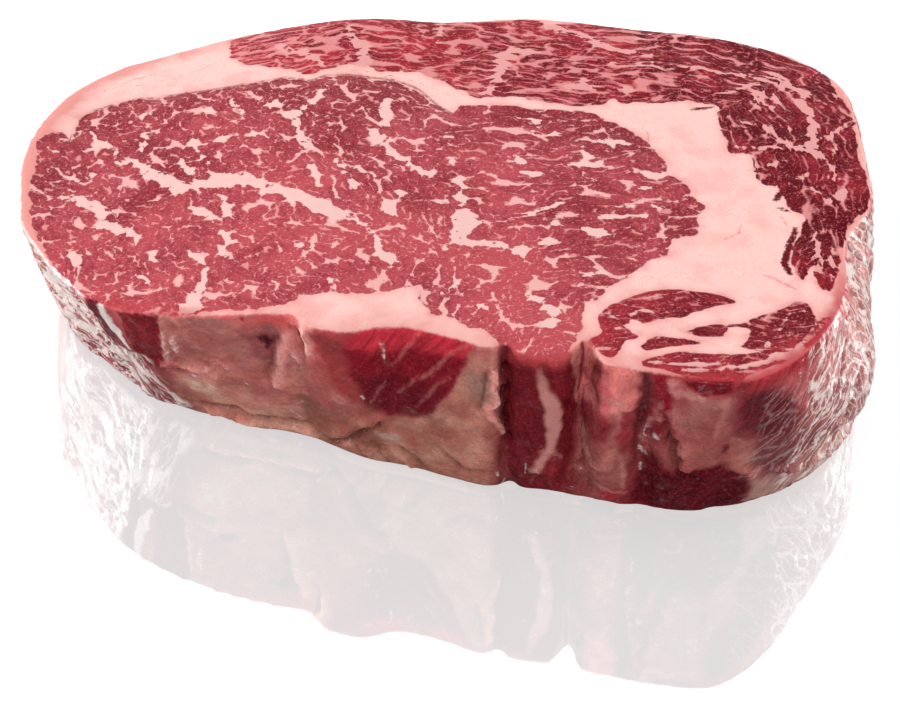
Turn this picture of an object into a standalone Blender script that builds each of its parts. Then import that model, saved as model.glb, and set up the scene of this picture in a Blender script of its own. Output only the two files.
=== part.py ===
"""A raw, thick-cut, boneless rib steak, lying on its cut face.

One solid. The upper cut face is level at the right and falls towards the thinner left end. The wall
leans in under the face along the front, flares out at the right corner, and carries the furrows,
the flap and the folds where the muscles part. Sizes are in millimetres until the mesh is made,
which is in metres.
"""

import math

import bmesh
import bpy
import numpy as np
from mathutils import Vector, noise
from mathutils.geometry import delaunay_2d_cdt

METRES = 0.001

THICKNESS = 42.0
THIN_END_SHARE = 0.80
TAPER_FROM_X = -82.0
TAPER_TO_X = -14.0

FOOT_RADIUS = 3.0
RIM_RADIUS = 1.8
RIM_DROP = 0.4

COLUMN_STEP = 3.4
FURROW_STEP = 1.3
LOW_LEVELS = (0.0, 0.018, 0.045, 0.09, 0.15, 0.21)
HIGH_LEVELS = (0.28, 0.36, 0.44, 0.52, 0.60, 0.68, 0.76, 0.84, 0.91, 0.96, 1.0)
FACE_STEP = 4.4
SEAM_STEP = 3.0
NORMAL_PASSES = 16

WALL_WAVE = 0.6
FACE_WAVE = 0.7

# Rim of the upper face, counter-clockwise from the left tip along the front edge:
# x, y, how far the foot stands in under the rim, how far the wall bellies out at half height.
RIM = (
    (-88.8, 19.6, 4.5, 1.0),
    (-87.4, 8.0, 6.0, 1.0),
    (-84.6, -6.0, 8.0, 0.5),
    (-77.0, -18.4, 10.5, 0.0),
    (-66.5, -31.6, 12.5, 0.5),
    (-55.0, -38.0, 13.0, 1.5),
    (-42.0, -41.5, 12.5, 2.0),
    (-32.0, -42.7, 10.0, 2.0),
    (-27.3, -43.4, 9.0, 1.5),
    (-24.0, -48.0, 11.5, 1.0),
    (-16.0, -50.0, 9.5, 1.5),
    (-8.5, -48.0, 6.0, 2.0),
    (0.4, -50.6, 5.0, 2.0),
    (9.0, -54.4, 6.2, 1.5),
    (21.2, -57.1, 7.3, 1.5),
    (33.0, -59.8, 6.8, 1.5),
    (45.0, -62.8, 7.7, 1.5),
    (56.3, -63.3, 9.7, 1.5),
    (66.2, -56.0, 5.8, 2.5),
    (72.6, -46.3, 0.5, 4.0),
    (76.4, -34.0, -4.0, 6.2),
    (78.8, -21.0, -7.0, 4.0),
    (85.6, -11.0, -3.0, 1.2),
    (87.2, 0.0, -1.0, 1.5),
    (88.0, 25.0, 0.5, 1.5),
    (85.5, 37.0, 2.0, 1.5),
    (76.6, 47.0, 3.0, 1.5),
    (62.0, 54.5, 4.0, 1.5),
    (45.0, 58.2, 4.0, 1.5),
    (22.0, 62.8, 4.0, 1.5),
    (2.0, 61.4, 3.5, 2.0),
    (-15.0, 63.3, 4.0, 2.5),
    (-35.0, 62.3, 4.0, 3.0),
    (-54.0, 59.9, 4.0, 3.0),
    (-70.5, 55.1, 4.0, 3.0),
    (-81.0, 45.8, 4.0, 2.5),
    (-86.4, 33.8, 4.0, 1.5),
)

# Furrows down the front wall, and two raised flaps with a negative depth: x at the rim, depth,
# half width, lowest and highest share of the wall's height that they mark.
FURROW_BLEND = 0.06
FURROWS = (
    (8.8, -1.1, 1.8, 0.20, 0.90),
    (11.8, 2.2, 1.6, -0.20, 1.20),
    (25.7, 7.0, 2.0, 0.12, 1.20),
    (37.5, 2.6, 2.2, 0.05, 0.75),
    (43.2, 1.3, 1.4, 0.35, 0.95),
    (48.5, -0.9, 4.0, 0.40, 0.95),
)

# Creases that run along the front wall: x and height at each end, depth, half height.
CREASE_BLEND = 0.1
CREASES = (
    ((-62.0, 20.5), (-36.0, 26.0), 1.3, 1.8),
    ((-54.0, 9.5), (-14.0, 6.5), 1.0, 1.6),
)

# The seam across the upper face, where the eye muscle parts from the fat and the cap above it.
SEAM_DEPTH = 0.9
SEAM_HALF_WIDTH = 2.2
SEAM = (
    (-79.0, 30.0),
    (-77.0, 36.0),
    (-71.0, 39.6),
    (-60.0, 40.0),
    (-36.0, 40.2),
    (-29.0, 38.2),
    (-20.0, 38.9),
    (-10.0, 36.4),
    (-3.0, 30.2),
    (2.5, 23.6),
)


def smooth_step(value, low, high):
    share = np.clip((value - low) / (high - low), 0.0, 1.0)
    return share * share * (3.0 - 2.0 * share)


def between(value, low, high, blend):
    """One from low to high, fading to nothing over a blend centred on each end."""
    rise = smooth_step(value, low - blend, low + blend)
    return rise * (1.0 - smooth_step(value, high - blend, high + blend))


def face_height(x):
    """Height of the upper cut face above the table."""
    return THICKNESS * (THIN_END_SHARE + (1.0 - THIN_END_SHARE) * smooth_step(x, TAPER_FROM_X, TAPER_TO_X))


def spline_point(rows, place):
    """A point of the closed Catmull-Rom curve through all rows."""
    count = len(rows)
    start = int(math.floor(place)) % count
    t = place - math.floor(place)
    a, b, c, d = (rows[(start + shift) % count] for shift in (-1, 0, 1, 2))
    return 0.5 * (2 * b + (c - a) * t + (2 * a - 5 * b + 4 * c - d) * t ** 2
                  + (3 * b - a - 3 * c + d) * t ** 3)


def rim_columns():
    """Rows of the rim, spaced by the column step and closer beside a furrow of the front wall."""
    rows = np.array(RIM)
    fine = np.array([spline_point(rows, place) for place in np.arange(0.0, len(rows), 0.02)])
    closed = np.vstack([fine, fine[:1]])
    spans = np.linalg.norm(np.diff(closed[:, :2], axis=0), axis=1)
    step = np.full(len(fine), COLUMN_STEP)
    for x, _, half_width, _, _ in FURROWS:
        near = (np.abs(fine[:, 0] - x) < 2.2 * half_width) & (fine[:, 1] < 0)
        step[near] = FURROW_STEP
    progress = np.concatenate([[0.0], np.cumsum(spans / step)])
    count = int(round(progress[-1]))
    wanted = np.arange(count) * progress[-1] / count
    return np.column_stack([np.interp(wanted, progress, closed[:, axis]) for axis in range(4)])


def outward_normals(points):
    """Unit normals of a closed counter-clockwise outline, evened out so that they never cross."""
    along = np.roll(points, -1, axis=0) - np.roll(points, 1, axis=0)
    normals = np.column_stack([along[:, 1], -along[:, 0]])
    for _ in range(NORMAL_PASSES):
        normals /= np.linalg.norm(normals, axis=1)[:, None]
        normals = 0.5 * normals + 0.25 * (np.roll(normals, 1, axis=0) + np.roll(normals, -1, axis=0))
    return normals / np.linalg.norm(normals, axis=1)[:, None]


def furrow_depth(columns, share):
    """How far each column is pressed in by the furrows at this share of the wall's height."""
    depth = np.zeros(len(columns))
    for x, deep, half_width, low, high in FURROWS:
        groove = np.exp(-((columns[:, 0] - x) / half_width) ** 2) * (columns[:, 1] < 0)
        depth += deep * between(share, low, high, FURROW_BLEND) * groove
    return depth


def crease_depth(columns, heights):
    """How far the creases that run along the front wall press it in."""
    depth = np.zeros(len(columns))
    for (x_from, z_from), (x_to, z_to), deep, half_height in CREASES:
        along = (columns[:, 0] - x_from) / (x_to - x_from)
        centre = z_from + (z_to - z_from) * along
        reach = between(along, CREASE_BLEND / 2, 1.0 - CREASE_BLEND / 2, CREASE_BLEND)
        groove = np.exp(-((heights - centre) / half_height) ** 2) * (columns[:, 1] < 0)
        depth += deep * reach * groove
    return depth


def wall_waves(columns, heights):
    """Low waves of the wall, longer up and down than along it."""
    points = zip(columns[:, 0], columns[:, 1], heights)
    waves = [noise.noise(Vector((x / 9.0, y / 9.0, z / 24.0))) for x, y, z in points]
    fade = 1.0 - smooth_step(heights / THICKNESS, 0.80, 0.98)
    return WALL_WAVE * np.array(waves) * fade


def wall_ring(columns, normals, share):
    """The closed ring of the wall at this share of its height."""
    heights = face_height(columns[:, 0]) * share
    out = -columns[:, 2] * (1.0 - share) + columns[:, 3] * 4.0 * share * (1.0 - share)
    out += wall_waves(columns, heights) - furrow_depth(columns, share) - crease_depth(columns, heights)
    low = np.clip(FOOT_RADIUS - heights, 0.0, FOOT_RADIUS)
    out -= FOOT_RADIUS - np.sqrt(FOOT_RADIUS ** 2 - low ** 2)
    flat = columns[:, :2] + normals * out[:, None]
    return np.column_stack([flat, heights])


def seam_rows():
    """Evenly spaced points along the seam."""
    seam = np.array(SEAM)
    progress = np.concatenate([[0.0], np.cumsum(np.linalg.norm(np.diff(seam, axis=0), axis=1))])
    wanted = np.linspace(0.0, progress[-1], int(progress[-1] / SEAM_STEP))
    return np.column_stack([np.interp(wanted, progress, seam[:, axis]) for axis in (0, 1)])


def nearest_gap(points, targets):
    return np.linalg.norm(points[:, None, :] - targets[None, :, :], axis=2)


def face_points(rim, seam):
    """Points inside the rim: a row that rounds the edge, the seam and its banks, an even field."""
    normals = outward_normals(rim)
    across = np.gradient(seam, axis=0)
    across = np.column_stack([across[:, 1], -across[:, 0]]) / np.linalg.norm(across, axis=1)[:, None]
    rows = [rim - normals * RIM_RADIUS]
    rows.extend(seam + across * SEAM_HALF_WIDTH * side for side in (-1.4, 0.0, 1.4))
    low = rim.min(axis=0)
    high = rim.max(axis=0)
    field = []
    for row, y in enumerate(np.arange(low[1], high[1], FACE_STEP * math.sqrt(3) / 2)):
        shift = 0.5 * FACE_STEP * (row % 2)
        field.extend((x + shift, y) for x in np.arange(low[0], high[0], FACE_STEP))
    field = np.array(field)
    gap = nearest_gap(field, rim)
    nearest = gap.argmin(axis=1)
    inside = ((rim[nearest] - field) * normals[nearest]).sum(axis=1) > 0
    clear_of_rim = gap.min(axis=1) > RIM_RADIUS + 0.5 * FACE_STEP
    clear_of_seam = nearest_gap(field, seam).min(axis=1) > 1.4 * SEAM_HALF_WIDTH + 0.4 * FACE_STEP
    rows.append(field[inside & clear_of_rim & clear_of_seam])
    return np.vstack(rows)


def face_relief(point, rim, seam):
    """Height of the cut face with its rounded edge, its seam and its slow waves."""
    here = np.array([point])
    edge_gap = nearest_gap(here, rim).min()
    seam_gap = nearest_gap(here, seam).min()
    wave = FACE_WAVE * noise.noise(Vector((point[0] / 26.0, point[1] / 26.0, 4.2)))
    wave *= 1.0 - math.exp(-(edge_gap / 6.0) ** 2)
    rounding = RIM_DROP * math.exp(-(edge_gap / (0.6 * RIM_RADIUS)) ** 2)
    groove = SEAM_DEPTH * math.exp(-(seam_gap / SEAM_HALF_WIDTH) ** 2)
    return float(face_height(point[0])) + wave - rounding - groove


def build_wall(mesh, rings):
    """The foot as one flat face, and bands of four-sided faces up to the rim."""
    ring_verts = [[mesh.verts.new(Vector(point) * METRES) for point in ring] for ring in rings]
    mesh.faces.new(list(reversed(ring_verts[0])))
    for lower, upper in zip(ring_verts[:-1], ring_verts[1:]):
        for here in range(len(lower)):
            after = (here + 1) % len(lower)
            mesh.faces.new((lower[here], lower[after], upper[after], upper[here]))
    return ring_verts[-1]


def build_face(mesh, rim, rim_verts):
    """The upper cut face, in triangles between the rim, the seam and the field."""
    count = len(rim_verts)
    seam = seam_rows()
    flat = [Vector(point) for point in np.vstack([rim, face_points(rim, seam)])]
    edges = [(here, (here + 1) % count) for here in range(count)]
    points, _, faces, origins, _, _ = delaunay_2d_cdt(flat, edges, [], 1, 1e-5)
    verts = []
    for point, origin in zip(points, origins):
        if origin[0] < count:
            verts.append(rim_verts[origin[0]])
        else:
            height = face_relief((point.x, point.y), rim, seam)
            verts.append(mesh.verts.new(Vector((point.x, point.y, height)) * METRES))
    for face in faces:
        mesh.faces.new([verts[corner] for corner in face])


def build_steak():
    columns = rim_columns()
    normals = outward_normals(columns[:, :2])
    rings = [wall_ring(columns, normals, share) for share in LOW_LEVELS + HIGH_LEVELS]
    rings[-1][:, 2] -= RIM_DROP
    mesh = bmesh.new()
    rim_verts = build_wall(mesh, rings)
    build_face(mesh, rings[-1][:, :2], rim_verts)
    bmesh.ops.recalc_face_normals(mesh, faces=mesh.faces)
    low = Vector(np.vstack(rings).min(axis=0)) * METRES
    high = Vector(np.vstack(rings).max(axis=0)) * METRES
    middle = (low + high) / 2
    bmesh.ops.translate(mesh, verts=mesh.verts, vec=(-middle.x, -middle.y, 0.0))
    return mesh


def raw_meat_material():
    material = bpy.data.materials.new("raw_meat")
    material.use_nodes = True
    shader = material.node_tree.nodes["Principled BSDF"]
    shader.inputs["Base Color"].default_value = (0.42, 0.06, 0.07, 1.0)
    shader.inputs["Roughness"].default_value = 0.35
    shader.inputs["Metallic"].default_value = 0.0
    return material


for old in list(bpy.data.objects):
    bpy.data.objects.remove(old, do_unlink=True)

steak_mesh = bpy.data.meshes.new("steak")
shape = build_steak()
shape.to_mesh(steak_mesh)
shape.free()
steak = bpy.data.objects.new("steak", steak_mesh)
bpy.context.scene.collection.objects.link(steak)
steak.data.materials.append(raw_meat_material())
steak.data.shade_smooth()
steak.data.set_sharp_from_angle(angle=math.radians(50))
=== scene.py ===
import math

import bpy
import numpy as np
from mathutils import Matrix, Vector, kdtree, noise


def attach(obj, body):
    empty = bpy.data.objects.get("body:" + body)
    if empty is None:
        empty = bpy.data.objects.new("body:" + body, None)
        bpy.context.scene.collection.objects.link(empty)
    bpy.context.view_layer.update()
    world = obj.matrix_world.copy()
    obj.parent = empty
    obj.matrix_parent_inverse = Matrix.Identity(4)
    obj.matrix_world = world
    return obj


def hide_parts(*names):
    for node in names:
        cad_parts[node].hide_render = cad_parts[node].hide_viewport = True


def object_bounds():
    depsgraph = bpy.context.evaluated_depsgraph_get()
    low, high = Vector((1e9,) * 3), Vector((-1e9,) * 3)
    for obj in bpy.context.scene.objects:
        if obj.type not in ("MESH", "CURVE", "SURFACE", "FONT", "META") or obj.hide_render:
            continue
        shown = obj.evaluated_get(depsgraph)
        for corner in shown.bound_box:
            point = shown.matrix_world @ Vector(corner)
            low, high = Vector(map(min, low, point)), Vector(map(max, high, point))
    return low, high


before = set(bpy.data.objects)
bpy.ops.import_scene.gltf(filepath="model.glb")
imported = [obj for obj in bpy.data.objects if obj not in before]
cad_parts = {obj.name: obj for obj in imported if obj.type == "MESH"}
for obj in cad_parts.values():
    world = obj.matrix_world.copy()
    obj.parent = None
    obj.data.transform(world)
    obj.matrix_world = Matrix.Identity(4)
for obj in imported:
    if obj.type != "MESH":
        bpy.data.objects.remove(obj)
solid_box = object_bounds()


# The camera
# It stands a third of a metre in front of the steak and looks 40 degrees down on it,
# with a 76 mm lens on a 36 mm wide sensor.
CAMERA_PLACE = (0.001734, -0.31935, 0.26303)
CAMERA_PITCH = math.radians(50)
CAMERA_LENS = 76.46
CAMERA_SENSOR = 36.0

bpy.ops.object.select_all(action="DESELECT")
bpy.ops.object.camera_add(location=CAMERA_PLACE, rotation=(CAMERA_PITCH, 0, 0))
camera = bpy.context.active_object
camera.name = "camera"
camera.data.lens = CAMERA_LENS
camera.data.sensor_width = CAMERA_SENSOR
camera.data.clip_start = 0.01
bpy.context.scene.camera = camera


# The table top
# A plain sheet of gloss white acrylic with an even light under it, so the steak throws
# hardly any shadow and stands on a faint mirror image of itself.
TABLE_SIZE = 12.0
TABLE_DROP = 0.0001
TABLE_GLOW_SEEN = 0.62
TABLE_GLOW_CAST = 0.12

bpy.ops.mesh.primitive_plane_add(size=TABLE_SIZE, location=(0, 0, -TABLE_DROP))
table = bpy.context.active_object
table.name = "table_top"
acrylic = bpy.data.materials.new("gloss_white_acrylic")
acrylic.use_nodes = True
acrylic_shader = acrylic.node_tree.nodes["Principled BSDF"]
acrylic_shader.inputs["Base Color"].default_value = (0.12, 0.12, 0.12, 1)
acrylic_shader.inputs["Roughness"].default_value = 0.02
acrylic_shader.inputs["IOR"].default_value = 3.4
acrylic_shader.inputs["Emission Color"].default_value = (1, 1, 1, 1)
acrylic_path = acrylic.node_tree.nodes.new("ShaderNodeLightPath")
acrylic_glow = acrylic.node_tree.nodes.new("ShaderNodeMapRange")
acrylic_glow.inputs["To Min"].default_value = TABLE_GLOW_CAST
acrylic_glow.inputs["To Max"].default_value = TABLE_GLOW_SEEN
acrylic.node_tree.links.new(acrylic_path.outputs["Is Camera Ray"], acrylic_glow.inputs["Value"])
acrylic.node_tree.links.new(acrylic_glow.outputs["Result"], acrylic_shader.inputs["Emission Strength"])
table.data.materials.append(acrylic)


# The steak
# One thick slice across a boned beef rib: the round eye muscle, a darker cap along its far
# edge, a small corner muscle in front, and hard white fat between them. The knife left the
# two faces flat and smooth; the side wall is torn silver skin, fat and bare wet meat.
MM = 0.001
SKIN_CELL = 0.72 * MM
SOFTEN_ROUNDS = 5
FLAT_FACE = 0.98
FLAT_HEIGHT = 0.5 * MM
UNDERSIDE_KEEP = 0.12
FACE_TILT = 0.7

steak_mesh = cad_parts["steak"].data.copy()
steak_mesh.materials.clear()
steak = bpy.data.objects.new("steak_flesh", steak_mesh)
bpy.context.scene.collection.objects.link(steak)
bpy.ops.object.select_all(action="DESELECT")
steak.select_set(True)
bpy.context.view_layer.objects.active = steak
bpy.ops.object.mode_set(mode="EDIT")
bpy.ops.mesh.select_all(action="SELECT")
bpy.ops.mesh.remove_doubles(threshold=0.00001)
bpy.ops.object.mode_set(mode="OBJECT")


def apply_modifier(piece, kind, **settings):
    """Adds one modifier to the piece with these settings and applies it."""
    modifier = piece.modifiers.new(kind.lower(), kind)
    for name, value in settings.items():
        setattr(modifier, name, value)
    bpy.ops.object.modifier_apply(modifier=modifier.name)


apply_modifier(steak, "REMESH", mode="VOXEL", voxel_size=SKIN_CELL)
apply_modifier(steak, "SMOOTH", factor=0.5, iterations=SOFTEN_ROUNDS)

bpy.ops.object.mode_set(mode="EDIT")
bpy.ops.mesh.select_mode(type="FACE")
bpy.ops.mesh.select_all(action="DESELECT")
bpy.ops.object.mode_set(mode="OBJECT")
for face in steak.data.polygons:
    face.select = face.normal.z < -FLAT_FACE and face.center.z < FLAT_HEIGHT
bpy.ops.object.mode_set(mode="EDIT")
bpy.ops.mesh.decimate(ratio=UNDERSIDE_KEEP)
bpy.ops.mesh.select_all(action="DESELECT")
bpy.ops.object.mode_set(mode="OBJECT")
steak.data.polygons.foreach_set("use_smooth", [True] * len(steak.data.polygons))


def vertex_values(mesh, source, name):
    """One vector for each vertex, as rows of an array."""
    values = np.empty(len(mesh.vertices) * 3, np.float32)
    source.foreach_get(name, values)
    return values.reshape(-1, 3).astype(float)


def waves(places, size, seed):
    """Smooth random waves of about this size in mm, between -1 and 1."""
    return np.array([noise.noise(place) for place in (places / size + seed * 31.7).tolist()])


def wander(size, seed, reach):
    """Wandering off sideways in waves of this size, up to this reach, both in mm."""
    return np.stack([waves(skin, size, seed), waves(skin, size, seed + 1)], 1) * reach


def smooth_step(low, high, values):
    """Rises smoothly from 0 at low to 1 at high."""
    share = np.clip((values - low) / (high - low), 0, 1)
    return share * share * (3 - 2 * share)


skin = vertex_values(steak.data, steak.data.vertices, "co") / MM
facing = vertex_values(steak.data, steak.data.vertex_normals, "vector")
edges = np.empty(len(steak.data.edges) * 2, np.int32)
steak.data.edges.foreach_get("vertices", edges)
edges = edges.reshape(-1, 2)


def spread(values, rounds):
    """Evens a value out between neighbouring vertices, this many times."""
    links = np.bincount(edges.ravel(), minlength=len(values))
    for _ in range(rounds):
        total = np.bincount(edges[:, 0], values[edges[:, 1]], len(values))
        total += np.bincount(edges[:, 1], values[edges[:, 0]], len(values))
        values = 0.5 * values + 0.5 * total / links
    return values


def distance_from(chosen):
    """The distance in mm from each vertex to the nearest chosen one."""
    tree = kdtree.KDTree(int(chosen.sum()))
    for number, place in enumerate(skin[chosen].tolist()):
        tree.insert(place, number)
    tree.balance()
    return np.array([tree.find(place)[2] for place in skin.tolist()])


# The cut faces and the wall, and how deep in the wall each place is; less than 0 is a face.
on_top = (facing[:, 2] > FACE_TILT) & (skin[:, 2] > 25)
on_underside = (facing[:, 2] < -FACE_TILT) & (skin[:, 2] < 10)
on_wall = ~on_top & ~on_underside
from_wall = distance_from(on_wall)
below_rim = np.where(on_top, -from_wall, distance_from(on_top))
above_foot = np.where(on_underside, -from_wall, distance_from(on_underside))
wall_depth = spread(np.minimum(below_rim, above_foot), 4)

# The steak's cut faces
# The knife shows each muscle in cross-section. Its outline is drawn here point by point in
# mm, with the seams of fat that are wide enough to follow; finer marbling is in the finish.
DRAWING_SHIFT = np.array((0.476, 0.177))
EYE = (
    (-86.5, 25), (-84, 28.5), (-81.5, 28), (-79.5, 25.5), (-79, 31), (-78, 35), (-76, 37.3), (-73, 39),
    (-68, 40), (-60, 40), (-50, 39.6), (-40, 40), (-34, 40.3), (-30, 38.5), (-28, 38), (-25, 39.3),
    (-20, 39), (-14, 37.8), (-10, 36.5), (-7, 35), (-5, 33), (-3, 30), (-1, 27), (1, 25), (3, 23.5),
    (4, 25), (8, 25.3), (14, 25), (20, 24), (25, 23.8), (30, 23.5), (33, 22.5), (35, 20), (37, 19.5),
    (39, 17), (41, 14), (43, 11), (44.5, 8), (46, 4), (46, 0.5), (49, -2.5), (50, -5), (51, -8),
    (52.3, -11), (51.5, -14), (50.5, -16), (51.3, -17.5), (50.5, -19.5), (48, -20.5), (45, -21.5),
    (44.5, -24), (43.5, -27), (40, -29), (38, -31), (35.5, -34), (33, -36), (31, -38.5), (29.5, -41),
    (27, -42), (26.5, -46), (26, -50), (24, -54), (21, -62), (12, -62), (11.5, -55), (11, -52.5),
    (9, -49.5), (6, -48.5), (4, -47), (2, -45.5), (-1, -44.5), (-2.5, -42), (-4, -40), (-3, -38),
    (-3, -35), (-4, -36), (-7, -37), (-10, -38.2), (-15, -38.3), (-20, -38.2), (-25, -38.5),
    (-27, -40), (-30, -41), (-35, -41), (-44, -39.5), (-50, -39.5), (-53, -38.5), (-58, -37),
    (-63, -34.5), (-67, -31), (-72, -27), (-75.5, -21), (-77, -17), (-78, -15), (-80, -11),
    (-82, -7), (-83.5, -2), (-83.5, 3), (-85, 5), (-85.5, 10), (-85, 15), (-85.5, 20),
)
CAP = (
    (-47.5, 59.5), (-47, 55), (-47, 52), (-45, 49.5), (-43, 47.5), (-40, 46.5), (-35, 43.8),
    (-32, 42.5), (-30, 41), (-28, 40.7), (-25, 42), (-20, 43), (-18, 42), (-15, 41.5), (-13, 40),
    (-10, 40), (-5, 39.7), (-3, 37.5), (0, 36), (2, 34), (4, 32.5), (6, 31), (7, 29.5), (8.5, 28.5),
    (17, 28.5), (20, 27.5), (24, 26.5), (27, 25.8), (30, 26), (35, 26.5), (37.5, 29), (39, 27),
    (42, 28), (45, 27), (50, 27.3), (52, 28), (58, 26.5), (59.5, 25), (59, 22), (59, 17), (60, 12),
    (59.5, 8), (62, 8), (64, 7.5), (64, 0), (65, -3), (68, -4), (69, -9), (69.5, -12), (71.5, -13.5),
    (72, -16), (70, -20), (68.5, -24), (67.5, -28), (67.5, -33), (68.5, -35), (70, -33), (70.5, -30),
    (71.5, -34), (72, -37.5), (73.5, -38), (75, -35), (76, -30), (77.5, -25), (79, -20), (81, -16),
    (84, -12), (85.5, -8), (86.2, -4), (86, 8), (86.5, 14), (87, 20), (86.5, 25), (85, 30),
    (84.5, 35), (84, 38), (81.5, 41), (78, 44), (75, 46.5), (72, 49), (69, 50.5), (64, 53),
    (60, 54.8), (55, 55.5), (50, 56.5), (45, 58.5), (38, 60.2), (32, 60.3), (25, 59), (20, 62),
    (13, 61), (5, 60), (0, 61), (-3, 62), (-10, 63), (-20, 62.8), (-30, 62.5), (-38, 62),
    (-41, 61), (-44, 60),
)
CORNER_UPPER = (
    (29.7, -45.3), (30.8, -43.8), (32.6, -41.9), (35.3, -40.1), (37.7, -39), (40.7, -38),
    (43.7, -37.7), (47.1, -37.7), (49.9, -38.2), (51.7, -38.8), (53.3, -39.6), (55.6, -40.9),
    (55.3, -41.5), (53, -42), (50.7, -42.7), (48.9, -43.7), (47.4, -44.2), (46.3, -45.3),
    (45, -46.2), (43.2, -46.2), (41.1, -46.6), (39.4, -47.4), (37.6, -47.8), (36.5, -46.8),
    (35.1, -46.7), (34.6, -47.8), (33.7, -48.5), (34.6, -49.7), (35.3, -50.6), (36.6, -50.8),
    (36.1, -52.1), (34.3, -52.8), (33.4, -54.3), (32.9, -56.2), (31.4, -57.1), (30.6, -56.9),
    (29.3, -56), (28.4, -54.5), (27.4, -53.8), (27.2, -52.4), (28.6, -51.4), (29.6, -50.6),
    (29.7, -48.2),
)
CORNER_LOWER = (
    (52.5, -48), (55.4, -47.6), (57.5, -46.4), (59.6, -45.3), (62.5, -44.1), (64.4, -42.9),
    (65.8, -41.4), (67, -40.7), (68.4, -41.1), (69.1, -42.5), (69.2, -44.5), (69.4, -45.7),
    (69.1, -47.4), (67.7, -49.8), (66.1, -52.2), (63.9, -53.6), (61.5, -54.7), (58.6, -55),
    (56.4, -54.7), (54.6, -54.1), (56, -52.8), (56.7, -51.6), (57.1, -49.8), (56.7, -48.8),
    (55.3, -48.4), (53.6, -48.6),
)
CORNER_ISLE = (
    (44.9, -50.3), (46.6, -49.4), (49.3, -48), (51.9, -47.6), (53.1, -48.6), (52.7, -50),
    (52, -51.1), (49.9, -51.5), (47.6, -51.3), (45.4, -50.9),
)
CORNER_SLIP = (
    (37, -54.3), (38.2, -52.3), (40.3, -51.4), (42.6, -51.9), (45.9, -52.5), (47.9, -52.8),
    (47, -53.7), (44.7, -53.9), (41.8, -54.5), (38.9, -55.4), (37.2, -55.8),
)
CORNER_RIM = (
    (36.6, -58.3), (41.4, -56.3), (44.2, -55.9), (46.9, -56.4), (49.7, -56.7), (52.5, -56.7),
    (55.4, -56), (58.2, -55.5), (61.1, -54.7), (64.1, -53.8), (66.4, -52.2), (68.4, -50),
    (69.6, -47.5), (70.9, -45.8), (72.4, -45.5), (72.2, -47.9), (70.4, -51.3), (67.2, -54.1),
    (64.4, -56.4), (62.3, -58.2), (59.3, -59.8), (56.4, -61.5), (54.2, -63.1), (50.5, -64.3),
    (46.5, -63.5), (43.9, -62.1), (41.2, -60.9), (38.5, -60.2), (36.6, -59.7),
)
CORNER_PARTS = (CORNER_UPPER, CORNER_LOWER, CORNER_ISLE, CORNER_SLIP, CORNER_RIM)
CORNER_SEAMS = (
    ((35.2, -46, 0.9), (36.7, -44.5, 0.8), (38.1, -44.1, 0.8), (40.4, -44.6, 0.7),
     (41.5, -43.7, 0.6), (40.9, -43, 0.6), (39.5, -42.7, 0.4)),
    ((30.7, -45.6, 0.4), (32.7, -46.1, 0.5), (34.3, -45.6, 0.4)),
    ((30.7, -48.5, 0.4), (32.3, -49.3, 0.5), (33.5, -48.8, 0.4)),
    ((33.7, -43, 0.3), (35.1, -42, 0.4)),
    ((59.4, -54.3, 0.5), (61.3, -50.9, 0.4), (63.7, -47, 0.4), (65, -44.1, 0.3)),
    ((62.1, -47.8, 0.4), (65.4, -48, 0.4), (68.4, -47.1, 0.5)),
    ((66, -45, 0.4), (67.8, -43.9, 0.5)),
    ((37.7, -58.8, 0.5), (41.7, -58.9, 0.8), (46.7, -59, 0.8), (50.7, -59.1, 0.5)),
    ((45.7, -57.7, 0.4), (50.7, -57.8, 0.7), (55.7, -57.3, 0.5)),
    ((59.7, -56.3, 0.5), (63.7, -54.7, 0.6), (66.8, -52.6, 0.7), (69.3, -49.4, 1.0),
     (70.8, -47.2, 0.8)),
    ((43.7, -60.7, 0.9), (48.7, -61.1, 0.9), (53.7, -60.2, 1.0), (58.7, -58.4, 1.6),
     (62.7, -56.4, 1.8), (65.8, -54.6, 1.2)),
)

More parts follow.
